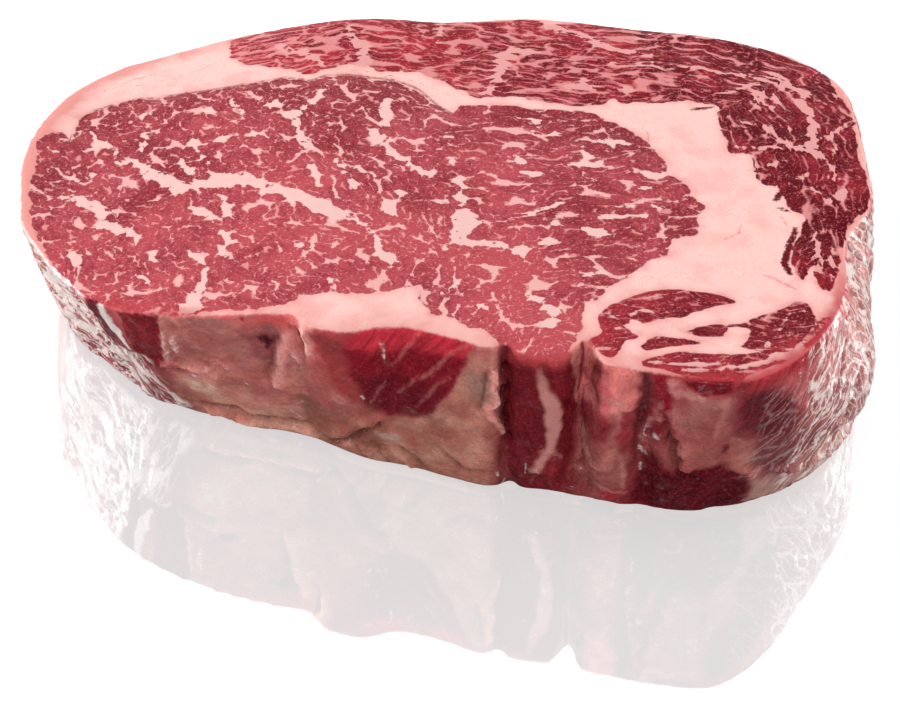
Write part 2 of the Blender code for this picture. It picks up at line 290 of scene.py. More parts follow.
# Seams of fat inside the muscles, each point with the seam's width there.
EYE_SEAMS = (
    ((-69, 16, 1.2), (-65, 14.5, 2), (-62, 11.5, 3), (-57, 6, 3.5), (-54, 3, 3.5), (-50, 2.5, 4),
     (-45, 3, 5.5), (-40, 2.5, 4.5), (-37, 0.5, 3.5), (-35, -2, 3.5), (-30, -4.5, 3.5), (-27, -7, 4),
     (-23.5, -10, 5), (-20, -13, 3.5), (-17, -15, 2.5), (-13, -18.5, 1.2)),
    ((-10.5, 30, 1), (-11, 26, 2.5), (-11.5, 22, 3.5), (-11, 19, 1.5)),
    ((-13.5, 16, 3), (-11.5, 12, 3.5), (-9.5, 8, 2.5), (-7, 5, 2), (-5, 2, 2.5), (-2, 0, 3)),
    ((-24.5, 34.5, 1.2), (-26, 31, 2), (-28, 27, 1.5), (-31, 24, 4), (-30, 20, 1.5), (-29, 16, 1.5),
     (-28, 12.5, 3)),
    ((-36, 29.5, 3.3), (-35.5, 29, 3)), ((-65, 32, 2.6), (-64.6, 31.5, 2)),
    ((-63, 25, 2.2), (-62.5, 19, 1.6)), ((-76, 28, 1.3), (-72, 23, 1.3), (-68.5, 18, 1.1)),
    ((-82, 21, 1.2), (-77, 20.5, 1), (-74, 21.5, 0.9)),
    ((-80, 10, 0.9), (-77, 11, 0.9), (-74, 10, 0.9), (-72, 12, 0.8), (-71, 15, 0.9), (-68, 15.5, 1)),
    ((-50, 31, 1.5), (-49, 29, 1.1)), ((-45, 33, 1), (-42, 28, 0.8)),
    ((-53, 20, 1.5), (-50, 14, 1.2), (-48, 10, 1.4)), ((-54, 12, 1.8), (-51, 7, 1.4)),
    ((-47, 19, 1.2), (-40, 19, 1), (-38, 17.5, 0.9)),
    ((-27, 5, 1.8), (-25, 2, 1.5), (-24, -3, 1.3)), ((-21, 6, 2), (-19, 0, 1.5), (-17, -4, 1.7)),
    ((-16, 2, 2), (-13, 0, 1.2)),
    ((-78, 4, 1.5), (-74, 3, 3), (-71, 0, 3.5), (-68, -3.5, 2.6)),
    ((-67, -8, 4), (-64, -10, 3), (-61, -13, 2), (-60, -15, 1)),
    ((-50, -5, 1.5), (-47, -8, 3), (-45, -11, 1.5)), ((-44, -3, 1.5), (-42.5, -6, 3), (-42, -9, 1.5)),
    ((-43, -15, 1.5), (-41, -18, 2.5), (-39, -19, 1.5)), ((-49, -20, 1.5), (-46, -24, 1.1)),
    ((-56, -19, 2), (-54.5, -23, 1.5)), ((-43, -20, 2), (-42, -23, 1.4)),
    ((-73, -17, 3), (-71, -19, 2)), ((-58, -26, 2.5), (-56, -28, 1.8)),
    ((-47, -38, 5), (-46.5, -34, 3), (-45, -30, 1.8), (-45, -26, 1)),
    ((-27, -22, 1.8), (-24, -23, 1.3)), ((-10, -10, 3), (-9.5, -13.5, 2)),
    ((-12, -21, 2), (-11.5, -25, 2.8), (-9, -29, 3)), ((-8, -6, 2), (-7, -7, 1.4)),
    ((-20, -34, 2), (-19, -36, 1.4)), ((4, -1, 2), (4.5, -8, 2.5), (5, -14, 2)),
    ((5, -15, 6), (5.5, -18, 5), (3, -22, 3), (1, -24.5, 1)),
    ((3, -22, 2), (8, -22.5, 1.8), (12, -23.5, 2.5), (16, -25.5, 2.5), (19.5, -23, 1)),
    ((1, -10, 1.5), (3, -13, 1.2)), ((16, -13, 1.5), (22, -12, 1.2), (25, -10, 1.1)),
    ((23, -17, 1.5), (24, -17.5, 1.1)), ((40, -6, 2), (44, -4, 1.6)), ((42, 0, 2.5), (45, -1.5, 1.8)),
    ((36, -12, 1.2), (43, -11, 1), (47, -11, 0.9)), ((30, -15, 1.5), (36, -15.5, 1.2), (41, -14.5, 1)),
    ((29, -19, 2), (33, -20.5, 1.3)), ((20, -22, 1.2), (24, -23, 1)), ((27, -33, 1.5), (31, -33, 1.1)),
    ((1, -38, 1.5), (4.5, -34, 1.2)), ((8, -42, 1.5), (9, -43, 1.1)),
    ((17, -39, 2.5), (19, -41, 2), (21, -45, 3), (21, -48, 2.4)), ((1, 13, 1.2), (4, 14, 1)),
    ((15, 7, 1.5), (17, 5, 2.5), (16, 4, 1)), ((3, 4, 2), (6, 3, 1.5)),
    ((20, 20, 1.5), (22, 18, 1.2), (20, 16, 1.3)), ((24, 15, 2), (25, 14.4, 1.5)),
    ((27, 4, 2.5), (31, 3, 2), (34, 5, 1.5)), ((29.5, 10, 2), (30.5, 6, 1.5)),
    ((33, 13, 1.5), (36, 10, 1.2)), ((37, 12, 1.2), (39, 11, 1)), ((20, 0, 2.5), (17, 1, 1.8)),
    ((36, 0.3, 1), (45, 0.3, 0.9)),
)
CAP_SEAMS = (
    ((-21, 58, 1.6), (-20, 54, 2.4), (-17, 49, 3.2), (-17, 43, 2.4)),
    ((0, 62, 1.2), (0, 56, 1.3), (-0.5, 50, 1.1)),
    ((-36, 54, 2), (-33, 50, 2.4), (-28, 47, 2.4), (-26, 44, 2)),
    ((10, 30, 2.4), (12, 34, 2.4), (13, 40, 3.2), (14, 45, 4), (16, 48, 3.2), (20, 48, 2.4)),
    ((24, 61, 2), (27, 57, 3), (32, 54, 2.4), (36, 50, 3), (42, 47.5, 2), (46, 46, 1)),
    ((27, 37, 1), (31, 35.5, 1.4), (35, 35, 0.8)),
    ((28, 33, 1.2), (32, 33.4, 2), (37, 33, 1.6), (41, 32, 0.8)),
    ((38, 43, 0.8), (41, 42, 1.4), (48, 41.6, 1.6), (54, 41, 1.6), (60, 40, 1)),
    ((53, 54.6, 1.5), (57, 54, 2.6), (62, 53.2, 1.4)), ((44, 52, 0.8), (47, 55, 1.4)),
    ((60, 39, 0.8), (62, 38.5, 1.5), (68, 37.5, 1.5), (73, 35.5, 1.5)),
    ((60.5, 30.6, 1), (63, 31.5, 1.8), (68, 34.7, 1.6), (71, 35.6, 1)),
    ((71.7, 39.2, 1.6), (73.7, 36.2, 2.8), (76, 32.5, 3.2), (77.8, 30.2, 2.8), (77.3, 25.2, 2.6),
     (78.4, 21.6, 2.2)),
    ((78.4, 21.6, 2.2), (78.2, 17.4, 2.2), (77.6, 13.3, 2.4), (76.2, 9.1, 3.4), (77.2, 6.6, 2.4)),
    ((77.8, 12, 2), (80.7, 13.3, 1.8), (83, 16, 1.2), (85.2, 17.8, 0.8)),
    ((75.7, 8.1, 2.5), (72.8, 9.5, 2.3), (71.2, 11.2, 2), (69.1, 16, 1.5), (66.3, 18.5, 1.1),
     (63, 19.6, 0.6)),
    ((71, 9.6, 0.9), (64.9, 9.8, 0.8), (61.4, 10.5, 0.6)),
    ((74.5, 13.3, 0.8), (73.4, 16, 1), (71.7, 17.8, 0.6)), ((68.3, 30.4, 2.6), (68, 26.7, 2)),
    ((71.7, 31, 1.5), (71.3, 25.2, 1.4), (69.4, 24.3, 0.9)), ((75.5, -3.6, 0.8), (75.6, -7.6, 1)),
    ((77.2, -9.3, 1.3), (79.6, -7.8, 1.6), (82.2, -6, 1.5)),
    ((78, -1, 1.2), (80, -2, 1.2), (80, 2, 1), (81.4, 9, 0.7)), ((82, 25, 0.7), (84, 30, 0.8)),
    ((73.6, -19, 0.9), (73.1, -21.7, 1.2), (72.3, -29, 1.5), (71.3, -31.5, 2)),
    ((75.7, -24.6, 0.5), (74.2, -36, 0.5)), ((60.4, 5.4, 0.8), (66, 3, 0.9), (70, 4.4, 0.8)),
    ((70, -3, 0.8), (73, -1, 0.8), (76, 1.6, 0.8)),
)

# The thin silver sheet between eye and cap, dark strips of membrane, and small blood vessels.
SILVER_LINE = (
    (-80, 24), (-79.3, 30), (-78, 35.2), (-76, 37.7), (-73, 39.4), (-68, 40.4), (-60, 40.4), (-50, 40),
    (-40, 40.4), (-34, 40.7), (-30, 39.2), (-28, 38.6), (-25, 39.8), (-20, 39.5), (-14, 38.3),
    (-10, 37), (-7, 35.4), (-4.5, 33.2), (-2.5, 30.2), (-0.5, 27.2), (1, 25.4), (2.5, 23.7),
)
SILVER_TWIN = (
    (-28, 40), (-25, 41.3), (-20, 41), (-14, 39.8), (-8, 37.6), (-4, 35), (-1, 31), (1.5, 27),
    (3, 24.6),
)
DARK_MEMBRANES = (
    ((69.4, -18.6, 0.9), (67.4, -24.6, 1.2), (65.8, -29.4, 1.4), (66.4, -33, 1)),
    ((66.9, -8.7, 1), (68.4, -6, 1.2)), ((67.4, -11.7, 0.9), (68.8, -12.6, 0.9)),
    ((53.6, 24.4, 0.5), (55.4, 24.8, 0.8), (58, 25.2, 0.7)),
)
BLOOD_VESSELS = (
    ((67.2, -14.6, 0.25), (67.9, -16, 0.3), (68, -18, 0.2)),
    ((42.6, 17, 0.2), (43.6, 14, 0.3), (43, 11, 0.2)),
    ((59, -17, 0.2), (58.4, -20, 0.25), (55, -22, 0.2)),
    ((61, -33, 0.2), (64, -35, 0.3), (67, -37.4, 0.25)),
    ((-75, 44, 0.3), (-68, 48, 0.3), (-60, 50, 0.25)),
    ((-68, 45, 0.2), (-58, 46.4, 0.25), (-50, 50, 0.2)),
)


def inside(points, outline):
    """Whether each point lies inside the outline."""
    x, y = points.T
    within = np.zeros(len(points), bool)
    for (ax, ay), (bx, by) in zip(outline, outline[1:] + outline[:1]):
        if ay != by:
            crossed = (ay > y) != (by > y)
            within ^= crossed & (x < (bx - ax) * (y - ay) / (by - ay) + ax)
    return within


def line_distance(points, line):
    """The distance of each point from a line, less half the width that its points name."""
    nearest = np.full(len(points), 1e6)
    for start, end in zip(line, line[1:]):
        origin = np.array(start[:2], float)
        run = np.array(end[:2], float) - origin
        share = np.clip((points - origin) @ run / (run @ run), 0, 1)
        gap = np.hypot(*(points - origin - share[:, None] * run).T)
        if len(start) > 2:
            gap = gap - 0.5 * (start[2] + (end[2] - start[2]) * share)
        nearest = np.minimum(nearest, gap)
    return nearest


def nearest_line(points, lines):
    """The distance of each point from the nearest of these lines."""
    return np.minimum.reduce([line_distance(points, line) for line in lines])


def outline_depth(points, outline):
    """How far each point lies inside an outline; less than 0 is outside."""
    gap = line_distance(points, outline + outline[:1])
    return np.where(inside(points, outline), gap, -gap)


# The underside is the same cut, a slice further down, so its muscles have drifted a little.
wobble = wander(5, 1, 0.55) + wander(1.9, 3, 0.3)
lower_half = np.where(skin[:, 2] < 16, 1.0, 0.0)[:, None]
drift = lower_half * (wander(30, 5, 5) + skin[:, :2] * 0.03)
drawn = skin[:, :2] + DRAWING_SHIFT + drift
face_place = drawn + wobble

eye_depth = outline_depth(face_place, EYE)
cap_depth = outline_depth(face_place, CAP)
corner_depth = np.maximum.reduce([outline_depth(face_place, part) for part in CORNER_PARTS])
lean_depth = np.maximum.reduce([eye_depth, cap_depth, corner_depth])
seam_gap = nearest_line(face_place, EYE_SEAMS + CAP_SEAMS + CORNER_SEAMS)
calm_place = drawn + 0.4 * wobble
silver_gap = line_distance(calm_place, SILVER_LINE)
silver_gap = np.minimum(silver_gap, line_distance(calm_place, SILVER_TWIN) + 0.2)
membrane_gap = nearest_line(calm_place, DARK_MEMBRANES)
vessel_gap = nearest_line(face_place, BLOOD_VESSELS)

# The grain of each muscle, in mm along and across its fibres; the cap's follows the rim.
CAP_SPINE = (
    (-55, 52), (-20, 53), (5, 49), (30, 44), (55, 42), (70, 33), (76, 20), (77, 0), (74, -18),
    (70, -40),
)
CAP_STRETCH = 2.7
CORNER_STRETCH = 2.4
EYE_STRETCH = 1.7
EYE_LEAN = 0.3
EYE_SQUEEZE = 0.8


def spine_grain(points, spine, stretch):
    """Along and across a line, as a vector with the first made shorter by the stretch."""
    nearest = np.full(len(points), 1e6)
    grain = np.zeros((len(points), 2))
    walked = 0.0
    for start, end in zip(spine, spine[1:]):
        origin = np.array(start, float)
        run = np.array(end, float) - origin
        length = math.hypot(*run)
        offset = points - origin
        share = np.clip(offset @ run / length ** 2, 0, 1)
        gap = np.hypot(*(offset - share[:, None] * run).T)
        side = (offset[:, 0] * run[1] - offset[:, 1] * run[0]) / length
        closer = gap < nearest
        nearest = np.where(closer, gap, nearest)
        grain[closer, 0] = ((walked + share * length) / stretch)[closer]
        grain[closer, 1] = side[closer]
        walked += length
    return grain


right_half = smooth_step(-15, 25, drawn[:, 0])
eye_along = np.where(drawn[:, 0] < 5, drawn[:, 0], 5 + (drawn[:, 0] - 5) / EYE_STRETCH)
eye_along = eye_along + EYE_LEAN * drawn[:, 1] * (1 - right_half)
turned = np.stack([eye_along, drawn[:, 1] * (EYE_SQUEEZE + (1 - EYE_SQUEEZE) * right_half)], 1)
cap_grain = spine_grain(drawn, CAP_SPINE, CAP_STRETCH) + 400
corner_grain = drawn * (1 / CORNER_STRETCH, 1) + 800
grain = turned.copy()
grain[cap_depth > eye_depth] = cap_grain[cap_depth > eye_depth]
in_corner = corner_depth > np.maximum(eye_depth, cap_depth)
grain[in_corner] = corner_grain[in_corner]
cap_share = np.where(cap_depth > eye_depth, 1.0, 0.0)
cap_share[in_corner] = 0.75

# The steak's side wall
# From left to right: silver skin, bare wet meat, fat, a window of bare muscle, beige fat, two
# muscles with a deep furrow between them, dark meat and stringy silver skin. Places are given
# as the angle round the steak's middle in degrees and the height in mm.
around = np.degrees(np.arctan2(skin[:, 1], skin[:, 0]))
around = np.where(around > 90, around - 360, around)
height = skin[:, 2]
DEGREE = 1.35

# Colour of the wall at a low, a middle and a high place, for each angle.
WALL_GROUND = (
    (-270, (206, 150, 140), (190, 118, 110), (222, 152, 146)),
    (-240, (190, 130, 122), (206, 146, 138), (232, 172, 162)),
    (-215, (206, 146, 136), (222, 166, 154), (240, 186, 172)),
    (-192, (214, 146, 136), (226, 160, 146), (240, 186, 168)),
    (-182, (196, 120, 116), (214, 140, 130), (236, 178, 162)),
    (-175, (158, 64, 68), (176, 92, 90), (220, 140, 130)),
    (-163, (140, 52, 56), (146, 56, 60), (206, 96, 98)),
    (-156, (128, 46, 50), (128, 44, 50), (196, 84, 88)),
    (-150, (160, 92, 82), (140, 60, 62), (190, 90, 92)),
    (-143, (206, 146, 128), (200, 124, 116), (206, 120, 116)),
    (-132, (202, 144, 126), (190, 108, 102), (200, 104, 104)),
    (-124, (180, 114, 98), (178, 100, 92), (214, 128, 124)),
    (-116, (172, 108, 92), (168, 92, 84), (196, 84, 86)),
    (-104, (172, 112, 94), (158, 86, 78), (160, 52, 62)),
    (-90, (176, 116, 98), (182, 118, 102), (170, 84, 82)),
    (-80, (180, 112, 98), (188, 120, 106), (196, 124, 114)),
    (-77.5, (130, 60, 60), (112, 34, 40), (140, 48, 56)),
    (-67, (110, 22, 32), (104, 22, 32), (136, 34, 46)),
    (-63.2, (132, 50, 54), (150, 64, 66), (206, 92, 98)),
    (-61, (156, 80, 76), (172, 90, 86), (216, 124, 122)),
    (-57.5, (140, 50, 54), (124, 40, 46), (150, 52, 60)),
    (-54, (110, 20, 32), (160, 84, 80), (180, 86, 86)),
    (-48, (96, 16, 28), (150, 76, 74), (150, 56, 62)),
    (-42, (150, 86, 80), (124, 48, 54), (176, 80, 82)),
    (-36, (180, 128, 120), (146, 84, 84), (196, 110, 108)),
    (-28, (196, 148, 140), (164, 100, 96), (190, 116, 112)),
    (-15, (206, 160, 152), (180, 118, 110), (190, 116, 110)),
    (0, (206, 164, 154), (172, 106, 100), (178, 92, 92)),
    (25, (196, 136, 128), (160, 86, 84), (170, 76, 80)),
    (55, (190, 126, 118), (176, 102, 98), (206, 130, 126)),
    (90, (206, 150, 140), (190, 118, 110), (222, 152, 146)),
)
LOW_PLACE = 5
MIDDLE_PLACE = 20
HIGH_PLACE = 36
BARE_MEAT = (150, 56, 60)
PALE_FAT = (208, 162, 146)
RED_FAT = (150, 66, 64)
WEB_CREST = (204, 148, 140)
WEB_FURROW_SHADE = (140, 60, 62)
HOLLOW_SHADE = (62, 10, 18)
EDGE_REACH = 0.55

# Patches over that ground: colour, softness of the edge in mm, and the outline.
WALL_PATCHES = (
    ((96, 22, 34), 1.4, (
        (-156, 36), (-153.6, 36), (-154.6, 26), (-156.6, 18), (-161, 8), (-164, 5), (-165.5, 9),
        (-159.5, 18),
    )),
    ((150, 46, 56), 1.2, ((-176, 9), (-172, 12), (-168, 4), (-171, 1), (-175, 2))),
    ((118, 26, 34), 0.6, (
        (-150.6, 34), (-145.9, 36.4), (-143.4, 36), (-144.3, 32.5), (-145.3, 27.7), (-146.1, 24.7),
        (-148.2, 21), (-151, 17.6), (-152.6, 19.5), (-152, 24), (-152, 28),
    )),
    ((196, 64, 70), 0.9, ((-152.5, 38), (-152.5, 35.2), (-147, 37), (-143.5, 37), (-143.5, 40))),
    ((182, 108, 102), 1.6, (
        (-143.5, 38), (-144.5, 31), (-146, 24.5), (-139, 25), (-131, 23), (-125, 24), (-124, 38),
    )),
    ((210, 92, 92), 1.3, (
        (-136, 39), (-131, 36.5), (-125, 37.5), (-120, 37), (-120, 42), (-136, 42),
    )),
    ((150, 78, 80), 2.2, ((-132, 35), (-126, 36), (-124.5, 30), (-126.5, 26), (-131, 28))),
    ((84, 18, 32), 0.5, (
        (-129.6, 33.6), (-128.2, 35.4), (-127.4, 33.8), (-126.4, 33.0), (-127.8, 32.5),
        (-128.3, 30.9), (-129, 32.6),
    )),
    ((120, 34, 44), 0.4, ((-126.6, 31), (-126.2, 31), (-127.2, 26.2), (-127.8, 26.2))),
    ((150, 34, 44), 0.4, ((-131.8, 38.9), (-130.9, 39), (-131, 38), (-131.8, 37.9))),
    ((150, 44, 52), 0.7, ((-121, 38.6), (-119.6, 38.8), (-119.8, 34.6), (-120.8, 34.6))),
    ((216, 146, 140), 1.5, (
        (-125.2, 36), (-123.4, 37), (-125, 28), (-127.5, 20.5), (-129.5, 20.5), (-127.5, 27),
    )),
    ((222, 178, 156), 2.4, ((-147, 12), (-142, 12), (-141.5, 17), (-145.5, 17.5))),
    ((222, 150, 142), 1.4, ((-119.5, 42.5), (-119.5, 33), (-117.2, 33), (-115.5, 42.5))),
    ((148, 92, 78), 2.2, ((-125, 20), (-119, 17), (-108, 17), (-103, 15), (-104, 7), (-126, 8))),
    ((160, 62, 64), 2.6, ((-117, 40), (-109, 40), (-108, 22), (-113, 24))),
    ((104, 16, 30), 2.6, (
        (-109, 31), (-107.7, 26), (-107.2, 22.2), (-105.3, 20.2), (-101.8, 18.6), (-97.4, 19.2),
        (-92.3, 21.2), (-89.4, 25.2), (-87.2, 29.5), (-94, 31), (-102, 32),
    )),
    ((134, 20, 36), 3.0, (
        (-110, 37), (-109, 30.5), (-103, 30), (-94, 29.5), (-87, 29), (-85, 34), (-84, 38.5),
        (-96, 38), (-108, 38),
    )),
    ((190, 46, 60), 2.4, (
        (-107, 43), (-110.5, 37.5), (-104, 36), (-95, 37), (-84.6, 37.5), (-83, 43),
    )),
    ((184, 120, 104), 1.6, (
        (-92, 21), (-88.5, 27), (-86, 34), (-84, 40), (-80.6, 38), (-81, 14), (-90, 14),
    )),
    ((176, 142, 130), 1.3, ((-105.5, 13.5), (-99.5, 12), (-99, 9.8), (-104.8, 11))),
    ((158, 114, 104), 2.6, ((-84.4, 35), (-80.6, 35.8), (-80.5, 28.5), (-84.2, 27.8))),
    ((216, 140, 130), 0.5, (
        (-80.7, 37), (-79.8, 37), (-79.3, 29), (-79.6, 26), (-77, 19.5), (-77.8, 18.8),
        (-80.4, 24.6), (-81.6, 27.8), (-80.4, 30),
    )),
    ((110, 22, 32), 0.5, (
        (-77.9, 42.5), (-77.7, 27), (-76.8, 18), (-75.6, 10), (-73.2, 1.2), (-66.8, 0), (-64.3, 10),
        (-64.3, 42.5),
    )),
    ((130, 34, 42), 0.9, (
        (-71.6, 15), (-68.5, 16), (-66.2, 13), (-66.6, 9), (-69.5, 7.6), (-71.8, 10.5),
    )),
    ((190, 72, 76), 2.6, ((-77.4, 43), (-77.2, 39), (-69, 39.4), (-66, 39.6), (-66, 43))),
    ((190, 112, 106), 0.9, (
        (-66.8, 43), (-66.6, 38), (-65.8, 33), (-64.8, 28), (-63.9, 25), (-63.6, 43),
    )),
    ((120, 44, 48), 1.0, ((-64.6, 43), (-64.5, 31), (-64, 25), (-63.4, 43))),
    ((204, 112, 108), 0.5, (
        (-63.5, 43), (-63.6, 38), (-62, 33.8), (-60.3, 32), (-59.6, 34), (-59.7, 43),
    )),
    ((156, 84, 80), 1.2, (
        (-62.4, 31), (-61.6, 31), (-60.4, 20), (-59, 21), (-57.4, 9), (-61.5, 4), (-62.4, 12),
    )),
    ((128, 34, 44), 1.6, ((-63, 28.5), (-61.9, 28), (-61.6, 22.5), (-62.8, 22))),
    ((140, 44, 50), 1.4, ((-60.6, 31), (-59.4, 30), (-58.4, 20), (-59.8, 18), (-60.6, 25))),
    ((192, 116, 108), 1.2, ((-61.8, 20.5), (-60.6, 20), (-60.2, 14), (-61.6, 13))),
    ((150, 36, 44), 1.0, ((-60.4, 6.5), (-58.8, 7.2), (-57.8, 3.4), (-59.8, 2.6))),
    ((112, 42, 48), 0.8, (
        (-59.6, 42), (-58.8, 42), (-57.6, 27), (-57, 20), (-58.4, 20), (-59.4, 34),
    )),
    ((132, 24, 38), 0.8, ((-58.6, 42.6), (-56.6, 42.6), (-55.8, 30), (-56.4, 24), (-57.4, 28))),
    ((160, 86, 82), 0.5, (
        (-56.6, 34), (-55.6, 31), (-54.2, 25.4), (-53.3, 20.4), (-51.5, 14.9), (-49.4, 16.5),
        (-50.6, 22), (-50, 28), (-50.2, 34.2), (-50.6, 38.4), (-53, 37.4),
    )),
    ((206, 134, 128), 0.7, ((-57, 40.6), (-54.6, 41), (-53.6, 37), (-55.6, 35.6))),
    ((160, 44, 52), 2.4, (
        (-55.5, 44), (-55.5, 39.0), (-50, 39.6), (-44, 39.2), (-36, 38.8), (-28, 39), (-23, 40.4),
        (-23, 44),
    )),
    ((110, 14, 32), 0.7, ((-55.2, 40.6), (-53.6, 40.8), (-50.4, 42), (-51, 39.6), (-54, 38))),
    ((92, 22, 34), 3.4, (
        (-50, 38.6), (-46.5, 38.4), (-42.4, 34), (-40.4, 27), (-41, 22.5), (-45, 24.5), (-48, 28),
        (-50, 33),
    )),
    ((86, 22, 32), 0.7, ((-49.8, 24), (-48.2, 24.2), (-48, 21.6), (-49.6, 21.2))),
    ((172, 100, 92), 1.2, (
        (-49.4, 27), (-46.6, 25), (-43.4, 20), (-41.2, 13), (-44, 12), (-48.6, 19),
    )),
    ((112, 50, 56), 3.2, (
        (-45.4, 23), (-41.6, 22), (-38.8, 16), (-39, 10.4), (-42, 11.6), (-44.6, 16),
    )),
    ((86, 10, 24), 1.4, (
        (-51.2, 16.7), (-48.4, 17), (-45.8, 14.4), (-42.4, 5), (-42.6, 2.6), (-48, 1), (-55.6, 2),
        (-55.8, 18.6), (-53.4, 14),
    )),
    ((176, 132, 124), 1.6, ((-44, 12), (-37.5, 8), (-33, 8), (-30, 3), (-36, 2), (-43, 3))),
    ((120, 24, 34), 0.5, (
        (-46, 2.6), (-41.6, 2.4), (-37.7, 2.4), (-33.9, 3.6), (-33, 0), (-46, 0),
    )),
    ((196, 64, 70), 1.2, ((-30, 43), (-30, 38.8), (-16, 38.8), (-16, 43))),
    ((186, 70, 76), 1.6, ((-187, 20), (-183, 19), (-182.5, 27), (-186.5, 28))),
)

# Pale threads of silver skin and seams of fat: each point with its width in mm.
WALL_THREADS = (
    ((-143.6, 35.6, 0.5), (-144.6, 31.3, 0.7), (-144.9, 27.9, 0.6), (-146.9, 22.6, 0.8),
     (-148.6, 20.2, 0.5)),
    ((-142.7, 33, 0.3), (-143.7, 26.5, 0.6)), ((-141.8, 36, 0.3), (-141, 30.9, 0.5)),
    ((-94.2, 41.5, 0.5), (-97.8, 36.3, 0.6), (-101, 32.4, 0.4)),
    ((-102.5, 38.4, 0.7), (-102.3, 35.5, 0.6), (-102, 32.9, 0.3)),
    ((-84.7, 41.3, 0.4), (-88.7, 36.8, 0.5), (-92.2, 32.6, 0.6), (-94.6, 30.5, 0.5),
     (-99.7, 25.7, 0.3)),
    ((-102, 28.1, 0.4), (-103.7, 25.6, 0.5), (-105.6, 21.9, 0.6)),
    ((-88, 32.5, 0.1), (-91.5, 28.5, 0.3), (-95.5, 22.5, 0.1)),
    ((-72.4, 38.5, 0.6), (-71.8, 34.9, 2.0), (-70.6, 31.2, 3.0), (-69.4, 27.1, 4.0),
     (-68.9, 22.8, 3.8), (-68.8, 18.5, 2.6), (-69.6, 14, 2.4), (-70.7, 9, 2.0)),
    ((-66.4, 13, 0.6), (-68.5, 16.3, 0.7), (-71, 15.6, 0.6)),
    ((-57.6, 36, 0.3), (-57, 30, 0.4), (-56.8, 22, 0.4)),
    ((-51.7, 38, 0.3), (-51.4, 32, 0.3), (-51.5, 27, 0.3)),
    ((-60, 18, 0.5), (-58.6, 14, 0.6), (-58, 8, 0.5)),
    ((-63.6, 8, 0.5), (-60.5, 6.5, 0.6), (-57, 6, 0.5)),
)

# Painted highlights: white glints painted where a wet fold of the skin faces the light;
# each point with its width in mm.
WALL_PAINTED_GLINTS = (
    ((-153.4, 36, 1.0), (-154, 29.5, 2.6), (-153.9, 25.3, 2.4), (-153.3, 22.4, 1.0)),
    ((-142.7, 32, 0.35), (-143.5, 27, 0.35)),
    ((-144.2, 33, 0.3), (-144.8, 28, 0.4), (-146.6, 23, 0.4)),
    ((-117.7, 38, 0.5), (-118, 35, 0.6), (-117.4, 33, 0.3)),
    ((-123.6, 30.3, 0.5), (-122.6, 28.8, 0.5), (-121.4, 27.2, 0.3)),
    ((-135, 20.2, 0.4), (-134.6, 18.8, 0.4)), ((-128.3, 11.2, 0.5), (-127.4, 9.6, 0.4)),
    ((-124.8, 15.9, 0.5), (-124.2, 14.6, 0.4)), ((-133.4, 13.2, 0.3), (-133, 12.2, 0.3)),
    ((-130.1, 13.6, 0.3), (-129.7, 12.6, 0.3)), ((-144.4, 19.2, 0.35), (-143.6, 18.6, 0.3)),
    ((-138.8, 24.6, 0.4), (-137.2, 23.2, 0.5)), ((-102.6, 38, 0.4), (-102.2, 34, 0.4)),
    ((-107.6, 24, 0.5), (-107.2, 22.8, 0.4)), ((-79.8, 29.4, 0.3), (-80.6, 28.2, 0.35)),
    ((-77.6, 20.4, 0.3), (-77.3, 19.4, 0.3)), ((-77.9, 6.8, 0.5), (-77.4, 5.6, 0.5)),
    ((-76, 3, 0.5), (-75.6, 0.8, 0.6)), ((-56.8, 20.4, 0.2), (-55.9, 17.8, 0.25)),
    ((-56, 15, 0.2), (-55.4, 12.6, 0.25)), ((-56.9, 27, 0.3), (-56.4, 24, 0.3)),
    ((-72.4, 11, 0.3), (-71.8, 7, 0.3)), ((-70.4, 10, 0.3), (-70.2, 7, 0.3)),
)

